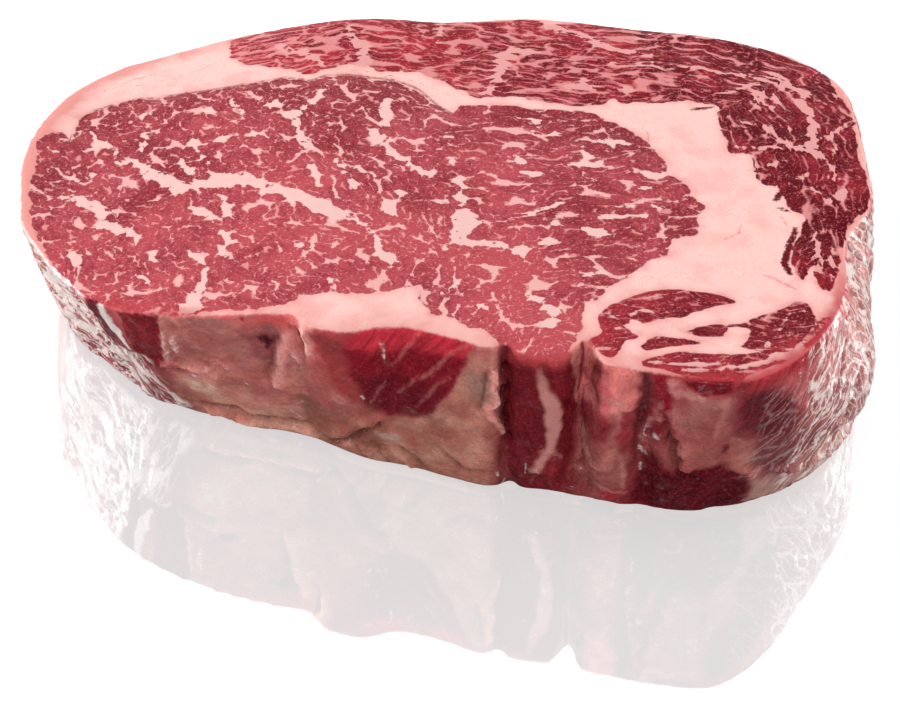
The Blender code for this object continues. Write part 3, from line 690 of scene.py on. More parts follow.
# Folds and creases: the half width in mm, and points with the height of the fold in mm.
WALL_FOLDS = (
    (0.8, ((-148.6, 20.4, 0.5), (-145.8, 21.4, 0.9), (-142.4, 21.6, 0.6), (-139.5, 20.5, 0.2))),
    (0.6, ((-149, 18.9, -0.4), (-145.8, 20, -0.8), (-142.4, 20.2, -0.5))),
    (0.6, ((-141.5, 25.5, 0.5), (-138.6, 25, 0.8), (-137, 23.2, 0.5))),
    (0.5, ((-141.5, 24.2, -0.4), (-138.6, 23.6, -0.6))),
    (0.5, ((-143.6, 35.6, 0.4), (-144.6, 31.3, 0.6), (-144.9, 27.9, 0.6), (-146.9, 22.6, 0.6))),
    (0.5, ((-142.7, 33, 0.3), (-143.7, 26.5, 0.5))), (0.5, ((-141.8, 36, 0.3), (-141, 30.9, 0.4))),
    (1.2, ((-124.3, 36, 0.5), (-126.5, 27.1, 0.8), (-128.5, 20.5, 0.4))),
    (0.9, ((-126.4, 34, -0.4), (-128.3, 27, -0.6), (-130.3, 22, -0.3))),
    (0.9, ((-128.5, 33.5, -0.9), (-128.3, 33, -0.9))),
    (1.0, ((-120.2, 38, -0.8), (-120.2, 34, -0.6))),
    (1.3, ((-118, 42, 0.5), (-117.6, 36, 0.8), (-118.6, 31, 0.4))),
    (0.6, ((-123.8, 30.6, 0.5), (-121.2, 27, 0.5))),
    (0.7, ((-125, 22.5, 0.3), (-127.5, 20.6, 0.4), (-126.2, 18.6, 0.4), (-124.2, 20.4, 0.3))),
    (0.6, (
        (-149, 6.5, -0.5), (-142.8, 7.2, -0.9), (-139.1, 6, -0.8), (-130.9, 7, -0.9),
        (-125, 7.2, -0.7), (-119.6, 4, -0.6),
    )),
    (1.0, ((-147, 5, 0.5), (-139, 4.4, 0.7), (-131, 5, 0.8), (-124, 4.6, 0.7))),
    (0.7, ((-121, 2.6, -0.5), (-116.1, 5.6, -0.9), (-108.5, 12.4, -0.8), (-104.5, 15.4, -0.4))),
    (1.4, ((-116.5, 8.2, 0.5), (-109.5, 14.6, 0.7), (-104.5, 17.6, 0.4))),
    (0.6, ((-107, 8, -0.5), (-105, 4, -0.7), (-103.4, 0.6, -0.6))),
    (0.6, ((-99.9, 8.7, -0.4), (-95.7, 4.8, -0.7), (-93.2, 1.5, -0.6))),
    (1.2, ((-101, 6.4, 0.4), (-97.4, 2.8, 0.5))),
    (0.7, ((-89, 9, -0.3), (-84.8, 5.7, -0.6), (-81, 6.8, -0.5))),
    (0.6, ((-113, 6, -0.4), (-110, 2.4, -0.6))),
    (0.6, ((-94.2, 41.5, 0.4), (-97.8, 36.3, 0.5), (-101, 32.4, 0.4))),
    (0.6, ((-84.7, 41.3, 0.4), (-92.2, 32.6, 0.6), (-99.7, 25.7, 0.4))),
    (0.7, (
        (-80.1, 36.5, 0.5), (-79.8, 29.2, 1.0), (-80.9, 27.8, 1.1), (-79.6, 24.4, 1.0),
        (-77.4, 19.4, 0.7),
    )),
    (0.5, ((-81.4, 36, -0.4), (-82, 30, -0.7), (-82.4, 27, -0.6))),
    (0.8, ((-77.9, 42, -0.8), (-77.6, 30, -0.8), (-76.4, 17, -0.5))),
    (1.3, ((-61.6, 42, 0.5), (-61.8, 36, 1.0), (-60.5, 33, 1.0))),
    (1.0, ((-62.3, 31, 0.6), (-61.8, 20, 0.8), (-61, 10, 0.6))),
    (0.8, ((-59, 42, -0.5), (-58.8, 34, -0.5), (-57.4, 24, -0.5), (-56.6, 17, -0.3))),
    (0.9, ((-57.6, 38, 0.5), (-56.9, 28, 0.6), (-56.4, 18, 0.5))),
    (0.5, ((-56.2, 34, 0.5), (-54, 24, 0.7), (-52.2, 15.6, 0.6))),
    (0.6, ((-57, 33, -0.6), (-54.8, 23, -0.8), (-52.8, 14.6, -0.8), (-50, 12, -0.4))),
    (0.7, ((-50.6, 14.6, 0.4), (-47, 16.4, 0.6), (-43.6, 12, 0.5))),
    (0.6, ((-41, 12.6, 0.4), (-37.5, 9.6, 0.8), (-33, 9.4, 0.8), (-28, 11, 0.6))),
)

# How much silver skin lies over the meat: left and right angle, low and high place, amount.
SILVER_WEB = (
    (-186, -157, 1, 40, 1.0), (-157, -151, 2, 22, 0.95), (-146, -118, 3, 40, 0.18),
    (-111, -82, 16, 42, 0.1), (-62, -55, 3, 34, 0.28), (-47, -36, 10, 38, 0.5),
    (-40, 16, 0, 42, 1.0), (-240, -196, 2, 44, 0.6), (16, 80, 2, 44, 0.6),
)
# The slope of the fibres in degrees, rising to the right, at each angle round the wall.
FIBRE_SLOPE = (
    (-270, 0), (-190, 12), (-164, 16), (-158, 80), (-152, 80), (-145, 15), (-112, 5), (-106, 38),
    (-86, 45), (-80, 80), (-58, 88), (-50, 80), (-45, 58), (-33, 58), (-27, -40), (0, -48),
    (20, -15), (90, 0),
)
# How much of the silver skin is white, partly its own pale colour and partly painted glare, how
# soft its edge is in degrees, and how far it hides the ground's colour, at each angle.
WHITE_AND_GLARE_SHARE = (
    (-270, 0.15), (-196, 0.35), (-180, 0.8), (-160, 0.7), (-148, 0.4), (-60, 0.05), (-44, 0.08),
    (-32, 0.22), (-18, 0.4), (15, 0.3), (60, 0.2), (90, 0.15),
)
WEB_EDGE = ((-270, 9), (-196, 9), (-190, 2), (-10, 2), (4, 9), (90, 9))
WEB_COVER = ((-200, 0.7), (-190, 0.25), (-60, 0.25), (-30, 0.4), (-10, 0.75))
# Which angles are the back, where bare meat shows in blotches, and where the rim is red.
BACK_SHARE = ((-270, 1), (-208, 1), (-194, 0), (24, 0), (40, 1), (90, 1))
RIM_REDNESS = (
    (-160, 0), (-154, 0.55), (-142, 0.55), (-136, 0), (-58, 0), (-52, 0.85), (-28, 0.85), (-18, 0),
)
FIBRE_REACH = 11.0
FIBRE_STEPS = 17
FOLD_GROWTH = 1.4
STREAK_STRETCH = 9
STANDS_OUT = 0.8
HOLLOW_ROUNDS = 40


def mix_colours(under, over, share):
    """Lays one set of colours over another by its share."""
    return under + (np.asarray(over, float) - under) * share[:, None]


def at_angle(table, places):
    """The value that a table of angles and values gives at each place."""
    return np.interp(places, [row[0] for row in table], [row[1] for row in table])


def stretched(line):
    """The angles of a line on the wall as mm, beside its heights and widths."""
    return tuple((point[0] * DEGREE, *point[1:]) for point in line)


def fibres(points, directions, size, seed):
    """Random waves of this size drawn out along the directions; two thirds lie within 1."""
    steps = np.linspace(-FIBRE_REACH, FIBRE_REACH, FIBRE_STEPS)
    total = sum(waves(points + directions * step, size, seed) for step in steps)
    return total / total.std()


def ground_colour(level):
    """The ground's colour beside each vertex, at the low, the middle or the high place."""
    angles = [row[0] for row in WALL_GROUND]
    tones = zip(*(row[level] for row in WALL_GROUND))
    return np.stack([np.interp(angle_wave, angles, tone) for tone in tones], 1)


angle_wave = around + waves(skin, 6, 11) + waves(skin, 2.2, 12) * 0.4
height_wave = height + waves(skin, 6, 13) * 2.2 + waves(skin, 2.2, 14) * 0.8
low_ground, middle_ground, high_ground = (ground_colour(level) for level in (1, 2, 3))
lower_share = smooth_step(LOW_PLACE, MIDDLE_PLACE, height_wave)
upper_share = smooth_step(MIDDLE_PLACE, HIGH_PLACE, height_wave)
wall_colour = mix_colours(mix_colours(low_ground, middle_ground, lower_share), high_ground, upper_share)
wall_place = np.stack([around * DEGREE, height], 1)
wall_place += wander(2.4, 15, 0.7) + wander(1.1, 18, 0.4)
for tint, softness, outline in WALL_PATCHES:
    depth = outline_depth(wall_place, stretched(outline))
    reach = EDGE_REACH * softness
    wall_colour = mix_colours(wall_colour, tint, smooth_step(-reach, reach, depth))
at_back = at_angle(BACK_SHARE, around)
blotches = waves(skin, 15, 65) + 0.4 * waves(skin, 5, 66) + 0.15 * waves(skin, 1.6, 67)
wall_colour = mix_colours(wall_colour, BARE_MEAT, 0.85 * at_back * smooth_step(0.05, 0.5, blotches))
thread_gap = spread(nearest_line(wall_place, [stretched(thread) for thread in WALL_THREADS]), 1)
painted_glint_gap = nearest_line(wall_place, [stretched(painted_glint) for painted_glint in WALL_PAINTED_GLINTS])
web_share = np.zeros(len(skin))
web_wave = angle_wave + 8 * waves(skin, 9, 68) * np.maximum(at_back, smooth_step(-20, 0, around))
web_edge = at_angle(WEB_EDGE, around)
for left, right, low, high, amount in SILVER_WEB:
    share = smooth_step(left - web_edge, left + web_edge, web_wave)
    share *= smooth_step(right + web_edge, right - web_edge, web_wave)
    share *= smooth_step(low - 2, low + 2, height_wave)
    share *= smooth_step(high + 2, high - 2, height_wave)
    web_share = np.maximum(web_share, share * amount)

# The fibres run along the wall at their slope. Their crests stand out, and where there is
# silver skin the furrows between them get painted shade, darker and redder.
slope = np.radians(at_angle(FIBRE_SLOPE, around)) + waves(skin, 14, 17) * 0.7
level_way = np.stack([-facing[:, 1], facing[:, 0], np.zeros(len(skin))], 1)
level_way /= np.maximum(np.linalg.norm(level_way, axis=1), 0.001)[:, None]
up_way = np.cross(facing, level_way)
fibre_way = level_way * np.cos(slope)[:, None] + up_way * np.sin(slope)[:, None]
on_side = wall_depth > -1.5
long_fibres = np.zeros(len(skin))
long_fibres[on_side] = fibres(skin[on_side], fibre_way[on_side], 3.0, 21)
long_crest = 1 - np.minimum(np.abs(long_fibres) * 0.9, 1)


def fold_heights():
    """How far the named folds and creases stand out, in mm."""
    total = np.zeros(len(skin))
    for half_width, line in WALL_FOLDS:
        highest = max((point[2] for point in line), key=abs)
        bare = stretched(tuple(point[:2] for point in line))
        total += FOLD_GROWTH * highest * np.exp(-(line_distance(wall_place, bare) / half_width) ** 2)
    return total


# Finer streaks are left to the finish: it needs each place in mm along and across the fibres.
STREAK_ZONES = (
    (-270, -190, -230, 20), (-190, -159, -175, 15), (-159, -150, -155, -80), (-150, -120, -135, 30),
    (-120, -80, -97, 42), (-80, -63, -70, -65), (-63, -30, -45, 60), (-30, 90, -12, -62),
)
streak_place = np.zeros((len(skin), 3))
for left, right, middle, rise in STREAK_ZONES:
    here = (around >= left) & (around < right)
    run = (around[here] - middle) * DEGREE
    rise = math.radians(rise)
    streak_place[here, 0] = run * math.cos(rise) + height[here] * math.sin(rise)
    streak_place[here, 1] = height[here] * math.cos(rise) - run * math.sin(rise)
streak_place[:, 0] /= STREAK_STRETCH
white_and_glare_share = at_angle(WHITE_AND_GLARE_SHARE, around)
streak_place[:, 1] += 1.6 * waves(skin, 9, 61) + 0.5 * waves(skin, 3.5, 62)

# The relief in mm: crests of fibres, soft lumps, folds and threads on the wall, and on the
# faces fat that stands a little proud of the lean.
folds = fold_heights()
wall_relief = (0.22 + 0.78 * web_share) * (0.5 * long_crest - 0.2)
wall_relief += (0.6 - 0.3 * web_share) * waves(skin, 8, 25)
wall_relief += (0.45 - 0.35 * web_share) * waves(skin, 3.5, 26)
wall_relief += folds + 0.15 * smooth_step(0.6, -0.3, thread_gap)
wall_share = smooth_step(0.0, 2.4, wall_depth)
relief = wall_relief * wall_share
face_relief = 0.1 * smooth_step(-0.5, 0.8, -np.minimum(lean_depth, seam_gap)) + 0.1 * waves(skin, 4, 31)
face_relief -= 0.22 * smooth_step(0.5, 0.0, silver_gap)
relief += face_relief * (1 - wall_share)
relief *= smooth_step(-0.4, 1.2, height)
skin += facing * relief[:, None]
skin[:, 2] = np.maximum(skin[:, 2], 0)
low_corner, high_corner = (np.array(corner) / MM for corner in solid_box)
skin = np.clip(skin, low_corner - STANDS_OUT, high_corner + STANDS_OUT)
steak.data.vertices.foreach_set("co", (skin * MM).ravel())
steak.data.update()

# Fat on the wall is mottled, silver skin hides the ground, and hollows and creases get painted shade.
pale = smooth_step(66, 96, wall_colour[:, 1]) * (1 - web_share)
blotches = waves(skin, 5, 63) + 0.6 * waves(skin, 2.2, 64)
wall_colour = mix_colours(wall_colour, PALE_FAT, 0.38 * pale * smooth_step(0.05, 0.6, blotches))
wall_colour = mix_colours(wall_colour, RED_FAT, 0.4 * pale * smooth_step(-0.1, -0.7, blotches))
# Painted shade: under silver skin the furrows between fibre crests are painted darker and redder.
web_colour = mix_colours(np.array(WEB_CREST), WEB_FURROW_SHADE, smooth_step(0.45, 0.05, long_crest))
web_cover = smooth_step(0.3, 1.0, web_share) * at_angle(WEB_COVER, around)
wall_colour = mix_colours(wall_colour, web_colour, web_cover)
meaty = smooth_step(80, 44, wall_colour[:, 1])
fibrous = np.maximum(np.maximum(0.3, 1.3 * meaty), 1.5 * web_share)
# Painted shade: the deeper a hollow lies in the wall, the more its colour is darkened to a deep red.
smoothed = np.stack([spread(skin[:, axis], HOLLOW_ROUNDS) for axis in range(3)], 1)
hollow = np.einsum("ij,ij->i", smoothed - skin, facing) * smooth_step(1, 4, wall_depth)
wall_colour = mix_colours(wall_colour, HOLLOW_SHADE, 0.8 * smooth_step(0.6, 1.8, hollow))
wall_shade = 1 + 0.22 * waves(skin, 4, 27) + 0.16 * waves(skin, 1.6, 28)
# Painted shade and light: creases are painted darker and raised folds lighter.
wall_shade *= 1 + 0.4 * np.clip(folds, -1, 0.4)


def light_values(colour):
    """A colour named as a screen shows it, as amounts of light."""
    share = np.asarray(colour, float) / 255
    return np.where(share <= 0.04045, share / 12.92, ((share + 0.055) / 1.055) ** 2.4)


def save_values(name, values):
    """Keeps one number for each vertex on the mesh."""
    kept = steak.data.attributes.new(name, "FLOAT", "POINT")
    kept.data.foreach_set("value", values.astype(np.float32))


def save_vectors(name, values):
    """Keeps one vector for each vertex on the mesh."""
    kept = steak.data.attributes.new(name, "FLOAT_VECTOR", "POINT")
    kept.data.foreach_set("vector", values.astype(np.float32).ravel())


# How light the lean is, how much marbling it holds, and how pink or red the fat is.
along = skin[:, 0]
tone = 0.55 + 0.45 * waves(skin, 14, 41) + 0.3 * waves(skin, 5, 42)
tone += cap_share * 0.25 * smooth_step(0, -50, along) - 0.45 * smooth_step(0, 80, along)
tone -= (1 - cap_share) * 0.25 * np.clip(skin[:, 1] / 35, -1, 1)
in_cap = np.where(cap_share > 0.9, 1.0, 0.0)
fatter = in_cap * (0.45 * smooth_step(5, -50, along) - 0.5 * smooth_step(40, 70, along))
coarse_chance = 0.5 + 0.7 * waves(skin, 8, 44) + 0.4 * waves(skin, 4, 43) + fatter - 0.7 * in_corner
fine_chance = 0.5 + 0.5 * waves(skin, 6, 45) + 0.4 * waves(skin, 2.4, 40) + fatter - 0.3 * in_corner
blush = 0.3 * smooth_step(-0.15, 0.5, waves(skin, 5, 46) + 0.5 * waves(skin, 2.2, 47))
near_rim = smooth_step(-7.0, -0.5, wall_depth + waves(skin, 5, 49))
blush += near_rim * (0.4 + 0.8 * smooth_step(-40, -75, along))
rim_red = smooth_step(-3.4, -0.2, wall_depth + 1.2 * waves(skin, 2.2, 50))
rim_red *= at_angle(RIM_REDNESS, around)

kept_values = {
    "tone": tone, "coarse_chance": coarse_chance, "fine_chance": fine_chance,
    "bite_share": np.where(in_corner, 0.35, 1.0), "blush": blush, "rim_red": rim_red,
    "moist": smooth_step(-0.35, 0.35, waves(skin, 2.6, 48)), "cap_share": cap_share,
    "lean_depth": lean_depth, "seam_gap": seam_gap, "silver_gap": silver_gap,
    "membrane_gap": membrane_gap, "vessel_gap": vessel_gap, "wall_depth": wall_depth,
    "thread_gap": thread_gap, "painted_glint_gap": painted_glint_gap, "web_share": web_share,
    "white_and_glare_share": white_and_glare_share, "fibrous": fibrous,
}
for name, values in kept_values.items():
    save_values(name, values)
save_vectors("streak_place", streak_place)
bent_grain = grain + (wander(8, 51, 2.0) + wander(2.6, 53, 0.7))
save_vectors("grain", np.column_stack([bent_grain, np.zeros(len(skin))]))
# The wall's colour is kept together with its painted shade and painted light.
save_vectors("wall_colour", light_values(wall_colour) * wall_shade[:, None])


# The steak's finish
# Moist raw beef: deep pink-red lean with a fine broken net of fat, smooth cream fat with a
# little pink in it, and wet silver skin, torn fat and dark bare meat on the wall.
flesh = bpy.data.materials.new("raw_beef")
flesh.use_nodes = True
flesh_nodes = flesh.node_tree.nodes
flesh_links = flesh.node_tree.links
flesh_shader = flesh_nodes["Principled BSDF"]


class NodeKit:
    """Adds nodes to one node tree, with each call returning the new node's output."""

    def __init__(self, tree):
        self.tree = tree

    def node(self, kind, out=0, settings=None, **inputs):
        made = self.tree.nodes.new(kind)
        for name, value in (settings or {}).items():
            setattr(made, name, value)
        for name, value in inputs.items():
            socket = made.inputs[int(name[1:])] if name[1:].isdigit() else made.inputs[name]
            if isinstance(value, bpy.types.NodeSocket):
                self.tree.links.new(value, socket)
            else:
                socket.default_value = value
        return made.outputs[out]

    def value(self, name):
        return self.node("ShaderNodeAttribute", "Fac", {"attribute_name": name})

    def vector(self, name):
        return self.node("ShaderNodeAttribute", "Vector", {"attribute_name": name})

    def calc(self, operation, a, b=0.0, c=0.0):
        return self.node("ShaderNodeMath", 0, {"operation": operation}, n0=a, n1=b, n2=c)

    def times(self, a, b):
        return self.calc("MULTIPLY", a, b)

    def times_plus(self, a, b, c):
        return self.calc("MULTIPLY_ADD", a, b, c)

    def plus(self, a, b):
        return self.calc("ADD", a, b)

    def minus(self, a, b):
        return self.calc("SUBTRACT", a, b)

    def larger(self, a, b):
        return self.calc("MAXIMUM", a, b)

    def ramp(self, value, low, high, start=0.0, end=1.0):
        settings = {"interpolation_type": "SMOOTHSTEP"}
        return self.node("ShaderNodeMapRange", 0, settings, n0=value, n1=low, n2=high, n3=start, n4=end)

    def mix(self, share, a, b):
        settings = {"data_type": "RGBA"}
        return self.node("ShaderNodeMix", 2, settings, n0=share, n6=a, n7=b)

    def between(self, share, a, b):
        return self.node("ShaderNodeMix", 0, {"data_type": "FLOAT"}, n0=share, n2=a, n3=b)

    def scaled(self, vector, factor):
        return self.node("ShaderNodeVectorMath", 0, {"operation": "SCALE"}, n0=vector, n3=factor)

    def noise(self, place, size, detail=2.0, rough=0.5, axes="3D"):
        inputs = {"Vector": place, "Scale": 1 / size, "Detail": detail, "Roughness": rough}
        return self.node("ShaderNodeTexNoise", 0, {"noise_dimensions": axes}, **inputs)

    def cells(self, place, feature):
        settings = {"feature": feature, "voronoi_dimensions": "2D"}
        return self.node("ShaderNodeTexVoronoi", 0, settings, Vector=place, Scale=1.0)


def colour_of(red, green, blue):
    """A colour named as a screen shows it, for a colour socket."""
    return (*light_values((red, green, blue)), 1.0)


# Fat between bundles of muscle fibres: it fills the places that are far from any bundle.
fat_net = bpy.data.node_groups.new("fat_net", "ShaderNodeTree")
fat_net.interface.new_socket("Place", in_out="INPUT", socket_type="NodeSocketVector")
for name, value in (("Cell", 3.0), ("Level", 0.7), ("Chance", 0.5), ("Ragged", 0.0), ("Soft", 0.06)):
    socket = fat_net.interface.new_socket(name, in_out="INPUT", socket_type="NodeSocketFloat")
    socket.default_value = value
for name in ("Fat", "Far"):
    fat_net.interface.new_socket(name, in_out="OUTPUT", socket_type="NodeSocketFloat")
net = NodeKit(fat_net)
net_in = fat_net.nodes.new("NodeGroupInput").outputs
net_out = fat_net.nodes.new("NodeGroupOutput").inputs
cell_place = net.scaled(net_in["Place"], net.calc("DIVIDE", 1.0, net_in["Cell"]))
far = net.times_plus(net_in["Ragged"], 0.5, net.cells(cell_place, "F1"))
level = net.times_plus(net.minus(0.5, net_in["Chance"]), 0.24, net_in["Level"])
soft_below = net.times(net_in["Soft"], -1.0)
fleck = net.ramp(net.minus(far, level), soft_below, net_in["Soft"])
fat_net.links.new(fleck, net_out["Fat"])
fat_net.links.new(far, net_out["Far"])

paint = NodeKit(flesh.node_tree)


def fat_lines(**inputs):
    """One net of fat in the finish, as its fat and how far each point is from a bundle's middle."""
    made = flesh_nodes.new("ShaderNodeGroup")
    made.node_tree = fat_net
    for name, value in inputs.items():
        if isinstance(value, bpy.types.NodeSocket):
            flesh_links.new(value, made.inputs[name])
        else:
            made.inputs[name].default_value = value
    return made.outputs["Fat"], made.outputs["Far"]


def ragged_line(name, raggedness, low, high, most):
    """How much a line on the mesh shows: most in its middle, none past its ragged edge."""
    gap = paint.times_plus(ragged, raggedness, paint.value(name))
    return paint.ramp(gap, low, high, most, 0.0)


place = paint.scaled(paint.node("ShaderNodeTexCoord", "Object"), 1 / MM)
grain_place = paint.vector("grain")
cap = paint.value("cap_share")
ragged = paint.minus(paint.noise(place, 0.9, 4.0, 0.72), 0.5)

# Lean: the tone drifts over centimetres and again between bundles of fibres.
LEAN_EYE_DARK = colour_of(128, 37, 48)
LEAN_EYE_LIGHT = colour_of(178, 73, 81)
LEAN_CAP_DARK = colour_of(86, 3, 18)
LEAN_CAP_LIGHT = colour_of(162, 38, 50)
bundle = paint.noise(grain_place, 1.6, 2.0, 0.6, "2D")
blend = paint.times_plus(paint.value("tone"), 0.5, paint.times(bundle, 0.5))
blend = paint.ramp(paint.times_plus(ragged, 0.35, blend), 0.24, 0.76)
eye_lean = paint.mix(blend, LEAN_EYE_DARK, LEAN_EYE_LIGHT)
cap_lean = paint.mix(blend, LEAN_CAP_DARK, LEAN_CAP_LIGHT)
lean = paint.mix(cap, eye_lean, cap_lean)

# Marbling: flecks between large bundles and small ones inside them, finer in the cap.
coarse, coarse_far = fat_lines(
    Place=grain_place, Cell=paint.between(cap, 2.5, 1.7), Level=paint.between(cap, 0.7, 0.6),
    Chance=paint.value("coarse_chance"), Ragged=ragged, Soft=paint.between(cap, 0.07, 0.13),
)
fine, fine_far = fat_lines(
    Place=grain_place, Cell=paint.between(cap, 1.15, 0.75), Level=paint.between(cap, 0.74, 0.62),
    Chance=paint.value("fine_chance"), Ragged=ragged, Soft=paint.between(cap, 0.1, 0.16),
)
MARBLING = paint.mix(cap, colour_of(222, 164, 160), colour_of(208, 130, 130))
MARBLING_FINE = paint.mix(cap, colour_of(214, 140, 139), colour_of(200, 104, 108))
specks = paint.ramp(paint.noise(place, 0.55, 2.0, 0.6), 0.54, 0.72, 0.0, 0.55)
lean = paint.mix(specks, lean, MARBLING_FINE)
lean = paint.mix(paint.times(fine, 0.85), lean, MARBLING_FINE)
lean = paint.mix(coarse, lean, MARBLING)

# Fat: cream, pinker by the lean and along the rim. Its edge bites in between the bundles.
bite = paint.times_plus(coarse_far, -2.4, 1.25)
bite = paint.times_plus(fine_far, -0.9, paint.plus(bite, 0.45))
bite = paint.times(bite, paint.value("bite_share"))
in_lean = paint.ramp(paint.times_plus(bite, 0.35, paint.value("lean_depth")), -0.12, 0.18)
off_seam = paint.ramp(paint.plus(bite, paint.value("seam_gap")), -0.12, 0.2)
lean_here = paint.times(in_lean, off_seam)
FAT_CREAM = colour_of(236, 190, 183)
FAT_PINK = colour_of(216, 142, 136)
FAT_VEIN = colour_of(224, 134, 130)
SEAM_FAT = paint.mix(cap, colour_of(224, 180, 175), colour_of(214, 150, 147))
near_lean = paint.ramp(paint.value("lean_depth"), -2.0, 0.2, 0.0, 0.4)
mottle = paint.noise(place, 4.0, 3.0, 0.7)
pink_share = paint.plus(near_lean, paint.value("blush"))
pink_share = paint.times_plus(paint.minus(mottle, 0.5), 0.7, pink_share)
pink_share = paint.calc("MINIMUM", paint.larger(pink_share, 0.0), 1.0)
fat = paint.mix(pink_share, FAT_CREAM, FAT_PINK)
vein = paint.ramp(paint.calc("ABSOLUTE", paint.minus(mottle, 0.46)), 0.0, 0.014, 0.4, 0.0)
fat = paint.mix(vein, fat, FAT_VEIN)
fat = paint.mix(paint.ramp(paint.value("lean_depth"), -0.3, 0.6), fat, SEAM_FAT)
face = paint.mix(lean_here, fat, lean)
SILVER_DARK = colour_of(116, 40, 50)
silver = ragged_line("silver_gap", 0.5, 0.05, 0.45, 0.8)
face = paint.mix(silver, face, SILVER_DARK)
MEMBRANE = colour_of(98, 16, 28)
membrane = ragged_line("membrane_gap", 1.6, -0.15, 0.3, 1.0)
face = paint.mix(membrane, face, MEMBRANE)
VESSEL = colour_of(214, 104, 104)
RIM_RED = colour_of(176, 56, 64)
vessel = ragged_line("vessel_gap", 0.8, -0.25, 0.35, 0.7)
in_fat = paint.minus(1.0, in_lean)
face = paint.mix(paint.times(vessel, in_fat), face, VESSEL)
face = paint.mix(paint.value("rim_red"), face, RIM_RED)

# Wall: its colours lie on the mesh; a net of silver skin, partly painted white as glare, threads
# and painted highlights of wet glints go over them.
web = paint.value("web_share")
streak_place = paint.vector("streak_place")
streaks = paint.noise(streak_place, 1.3, 3.0, 0.6, "2D")
shade = paint.times(paint.minus(streaks, 0.5), paint.value("fibrous"))
shade = paint.plus(shade, paint.times_plus(ragged, 0.4, 1.0))
wall = paint.scaled(paint.vector("wall_colour"), shade)
# The white net over silver skin: partly the skin's own pale colour, partly painted glare on its wet
# folds.
NET_STRETCH = (2.2, 1.0, 1.0)
multiply = {"operation": "MULTIPLY"}
net_place = paint.node("ShaderNodeVectorMath", 0, multiply, n0=streak_place, n1=NET_STRETCH)
wide_net = paint.cells(paint.scaled(net_place, 0.28), "DISTANCE_TO_EDGE")
wide_net = paint.times_plus(ragged, 0.3, wide_net)
tight_net = paint.cells(paint.scaled(net_place, 0.62), "DISTANCE_TO_EDGE")
tight_net = paint.times_plus(ragged, 0.4, tight_net)
reach = paint.ramp(paint.noise(place, 5.0, 2.0, 0.5), 0.35, 0.65, 0.02, 0.42)
reach = paint.times(paint.value("white_and_glare_share"), reach)
wide_white = paint.ramp(paint.minus(wide_net, reach), -0.04, 0.06, 1.0, 0.0)
tight_white = paint.ramp(paint.minus(tight_net, paint.times(reach, 0.5)), -0.02, 0.1, 0.7, 0.0)
silver_and_glare = paint.times(paint.larger(wide_white, tight_white), paint.ramp(web, 0.3, 0.9))
THREAD = colour_of(210, 142, 134)
MEAT_SPECK = colour_of(172, 84, 84)
WALL_CREASE_SHADE = colour_of(136, 52, 54)
SILVER_SKIN_AND_GLARE = colour_of(250, 232, 226)
PAINTED_GLINT_WHITE = colour_of(255, 246, 242)
# Painted shade: thin darker lines over the wall stand for fine creases.
crease_lines = paint.calc("ABSOLUTE", paint.minus(paint.noise(place, 3.0, 3.0, 0.65), 0.5))
wall = paint.mix(paint.ramp(crease_lines, 0.0, 0.03, 0.3, 0.0), wall, WALL_CREASE_SHADE)
thread = ragged_line("thread_gap", 0.5, -0.8, 0.7, 0.85)
speck_share = paint.ramp(paint.value("fibrous"), 0.5, 1.3, 0.0, 0.55)
wall = paint.mix(paint.times(specks, speck_share), wall, MEAT_SPECK)
wall = paint.mix(thread, wall, THREAD)
wall = paint.mix(paint.times(silver_and_glare, 0.85), wall, SILVER_SKIN_AND_GLARE)
# Painted highlights: the glint lines are painted near white over the wall's colour.
painted_glint = ragged_line("painted_glint_gap", 1.2, -0.4, 0.35, 1.0)
wall = paint.mix(paint.times(painted_glint, 0.7), wall, PAINTED_GLINT_WHITE)

wall_here = paint.ramp(paint.plus(paint.value("wall_depth"), ragged), -0.3, 0.5)
colour = paint.mix(wall_here, face, wall)
flesh_links.new(colour, flesh_shader.inputs["Base Color"])

# Wetness: the cut faces are only moist; the wall's silver skin and painted glints are glossy.
moist = paint.value("moist")
flesh_links.new(paint.ramp(moist, 0.0, 1.0, 0.34, 0.5), flesh_shader.inputs["Roughness"])
gloss = paint.times_plus(silver_and_glare, 0.75, paint.times(moist, 0.06))
gloss = paint.larger(painted_glint, gloss)
wet_patch = paint.ramp(paint.noise(place, 1.4, 2.0, 0.5), 0.54, 0.66, 0.06, 0.5)
gloss = paint.larger(paint.larger(gloss, wet_patch), paint.times(web, 0.35))
wet = paint.times_plus(paint.times(wall_here, gloss), 0.95, 0.02)
flesh_links.new(wet, flesh_shader.inputs["Coat Weight"])

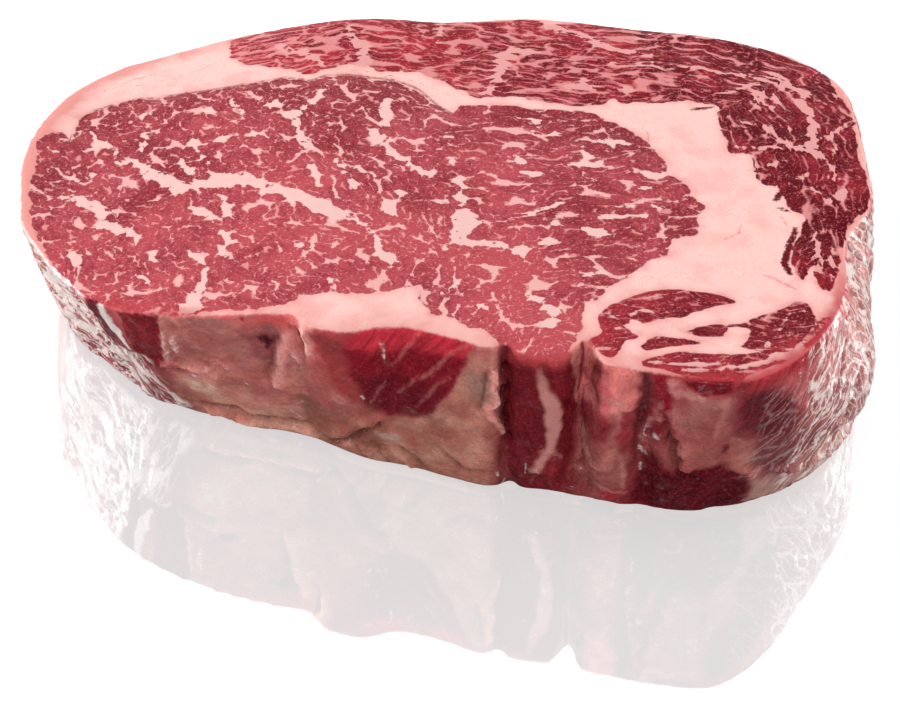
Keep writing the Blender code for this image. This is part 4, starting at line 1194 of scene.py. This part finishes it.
surface = paint.noise(place, 0.8, 3.0, 0.6)
surface = paint.times(surface, paint.ramp(paint.value("wall_depth"), 0.0, 1.0, 0.2, 0.65))
bump = paint.node("ShaderNodeBump", 0, Height=surface, Strength=1.0, Distance=MM)
flesh_links.new(bump, flesh_shader.inputs["Normal"])
flesh_shader.inputs["IOR"].default_value = 1.4
flesh_shader.inputs["Specular IOR Level"].default_value = 0.03
flesh_shader.inputs["Coat Roughness"].default_value = 0.09
flesh_shader.inputs["Coat IOR"].default_value = 1.45
flesh_shader.inputs["Subsurface Weight"].default_value = 0.08
flesh_shader.inputs["Subsurface Radius"].default_value = (1.0, 0.35, 0.25)
flesh_shader.inputs["Subsurface Scale"].default_value = 0.0012
steak.data.materials.append(flesh)

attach(steak, "root")
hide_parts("steak")


# The studio light
# A white surround with one large soft box overhead and one on each of four sides, so that
# the flat face is bright and even and the wet wall catches long soft glints.
SOFT_BOXES = (
    ("soft_box_top", (-0.15, 0.05, 1.3), (1.0, 0.8), 5.7),
    ("soft_box_front", (0.1, -1.3, 0.4), (1.0, 0.3), 7.8),
    ("soft_box_left", (-1.0, 0.2, 0.16), (0.25, 0.6), 13.5),
    ("soft_box_right", (1.0, 0.3, 0.35), (0.3, 0.6), 8.0),
    ("soft_box_back", (0.0, 1.2, 0.45), (1.2, 0.4), 3.0),
)
for name, location, (width, depth), power in SOFT_BOXES:
    bpy.ops.object.light_add(type="AREA", location=location)
    lamp = bpy.context.active_object
    lamp.name = name
    lamp.data.shape = "RECTANGLE"
    lamp.data.size = width
    lamp.data.size_y = depth
    lamp.data.energy = power
    lamp.visible_camera = False
    lamp.rotation_euler = (-lamp.location).to_track_quat("-Z", "Y").to_euler()

world = bpy.data.worlds.new("white_surround")
world.use_nodes = True
bpy.context.scene.world = world
surround = NodeKit(world.node_tree)
background = world.node_tree.nodes["Background"]
path = world.node_tree.nodes.new("ShaderNodeLightPath")
way = surround.node("ShaderNodeTexCoord", "Generated")
up = surround.node("ShaderNodeSeparateXYZ", 2, n0=way)
backward = surround.node("ShaderNodeSeparateXYZ", 1, n0=way)
glow = surround.ramp(up, -0.2, 1.0, 0.3, 0.5)
behind = surround.ramp(backward, 0.0, 0.4, 0.1, 1.0)
glow = surround.between(path.outputs["Is Glossy Ray"], glow, behind)
glow = surround.larger(glow, path.outputs["Is Camera Ray"])
world.node_tree.links.new(glow, background.inputs["Strength"])
background.inputs["Color"].default_value = (1, 1, 1, 1)
bpy.context.scene.view_settings.view_transform = "Standard"
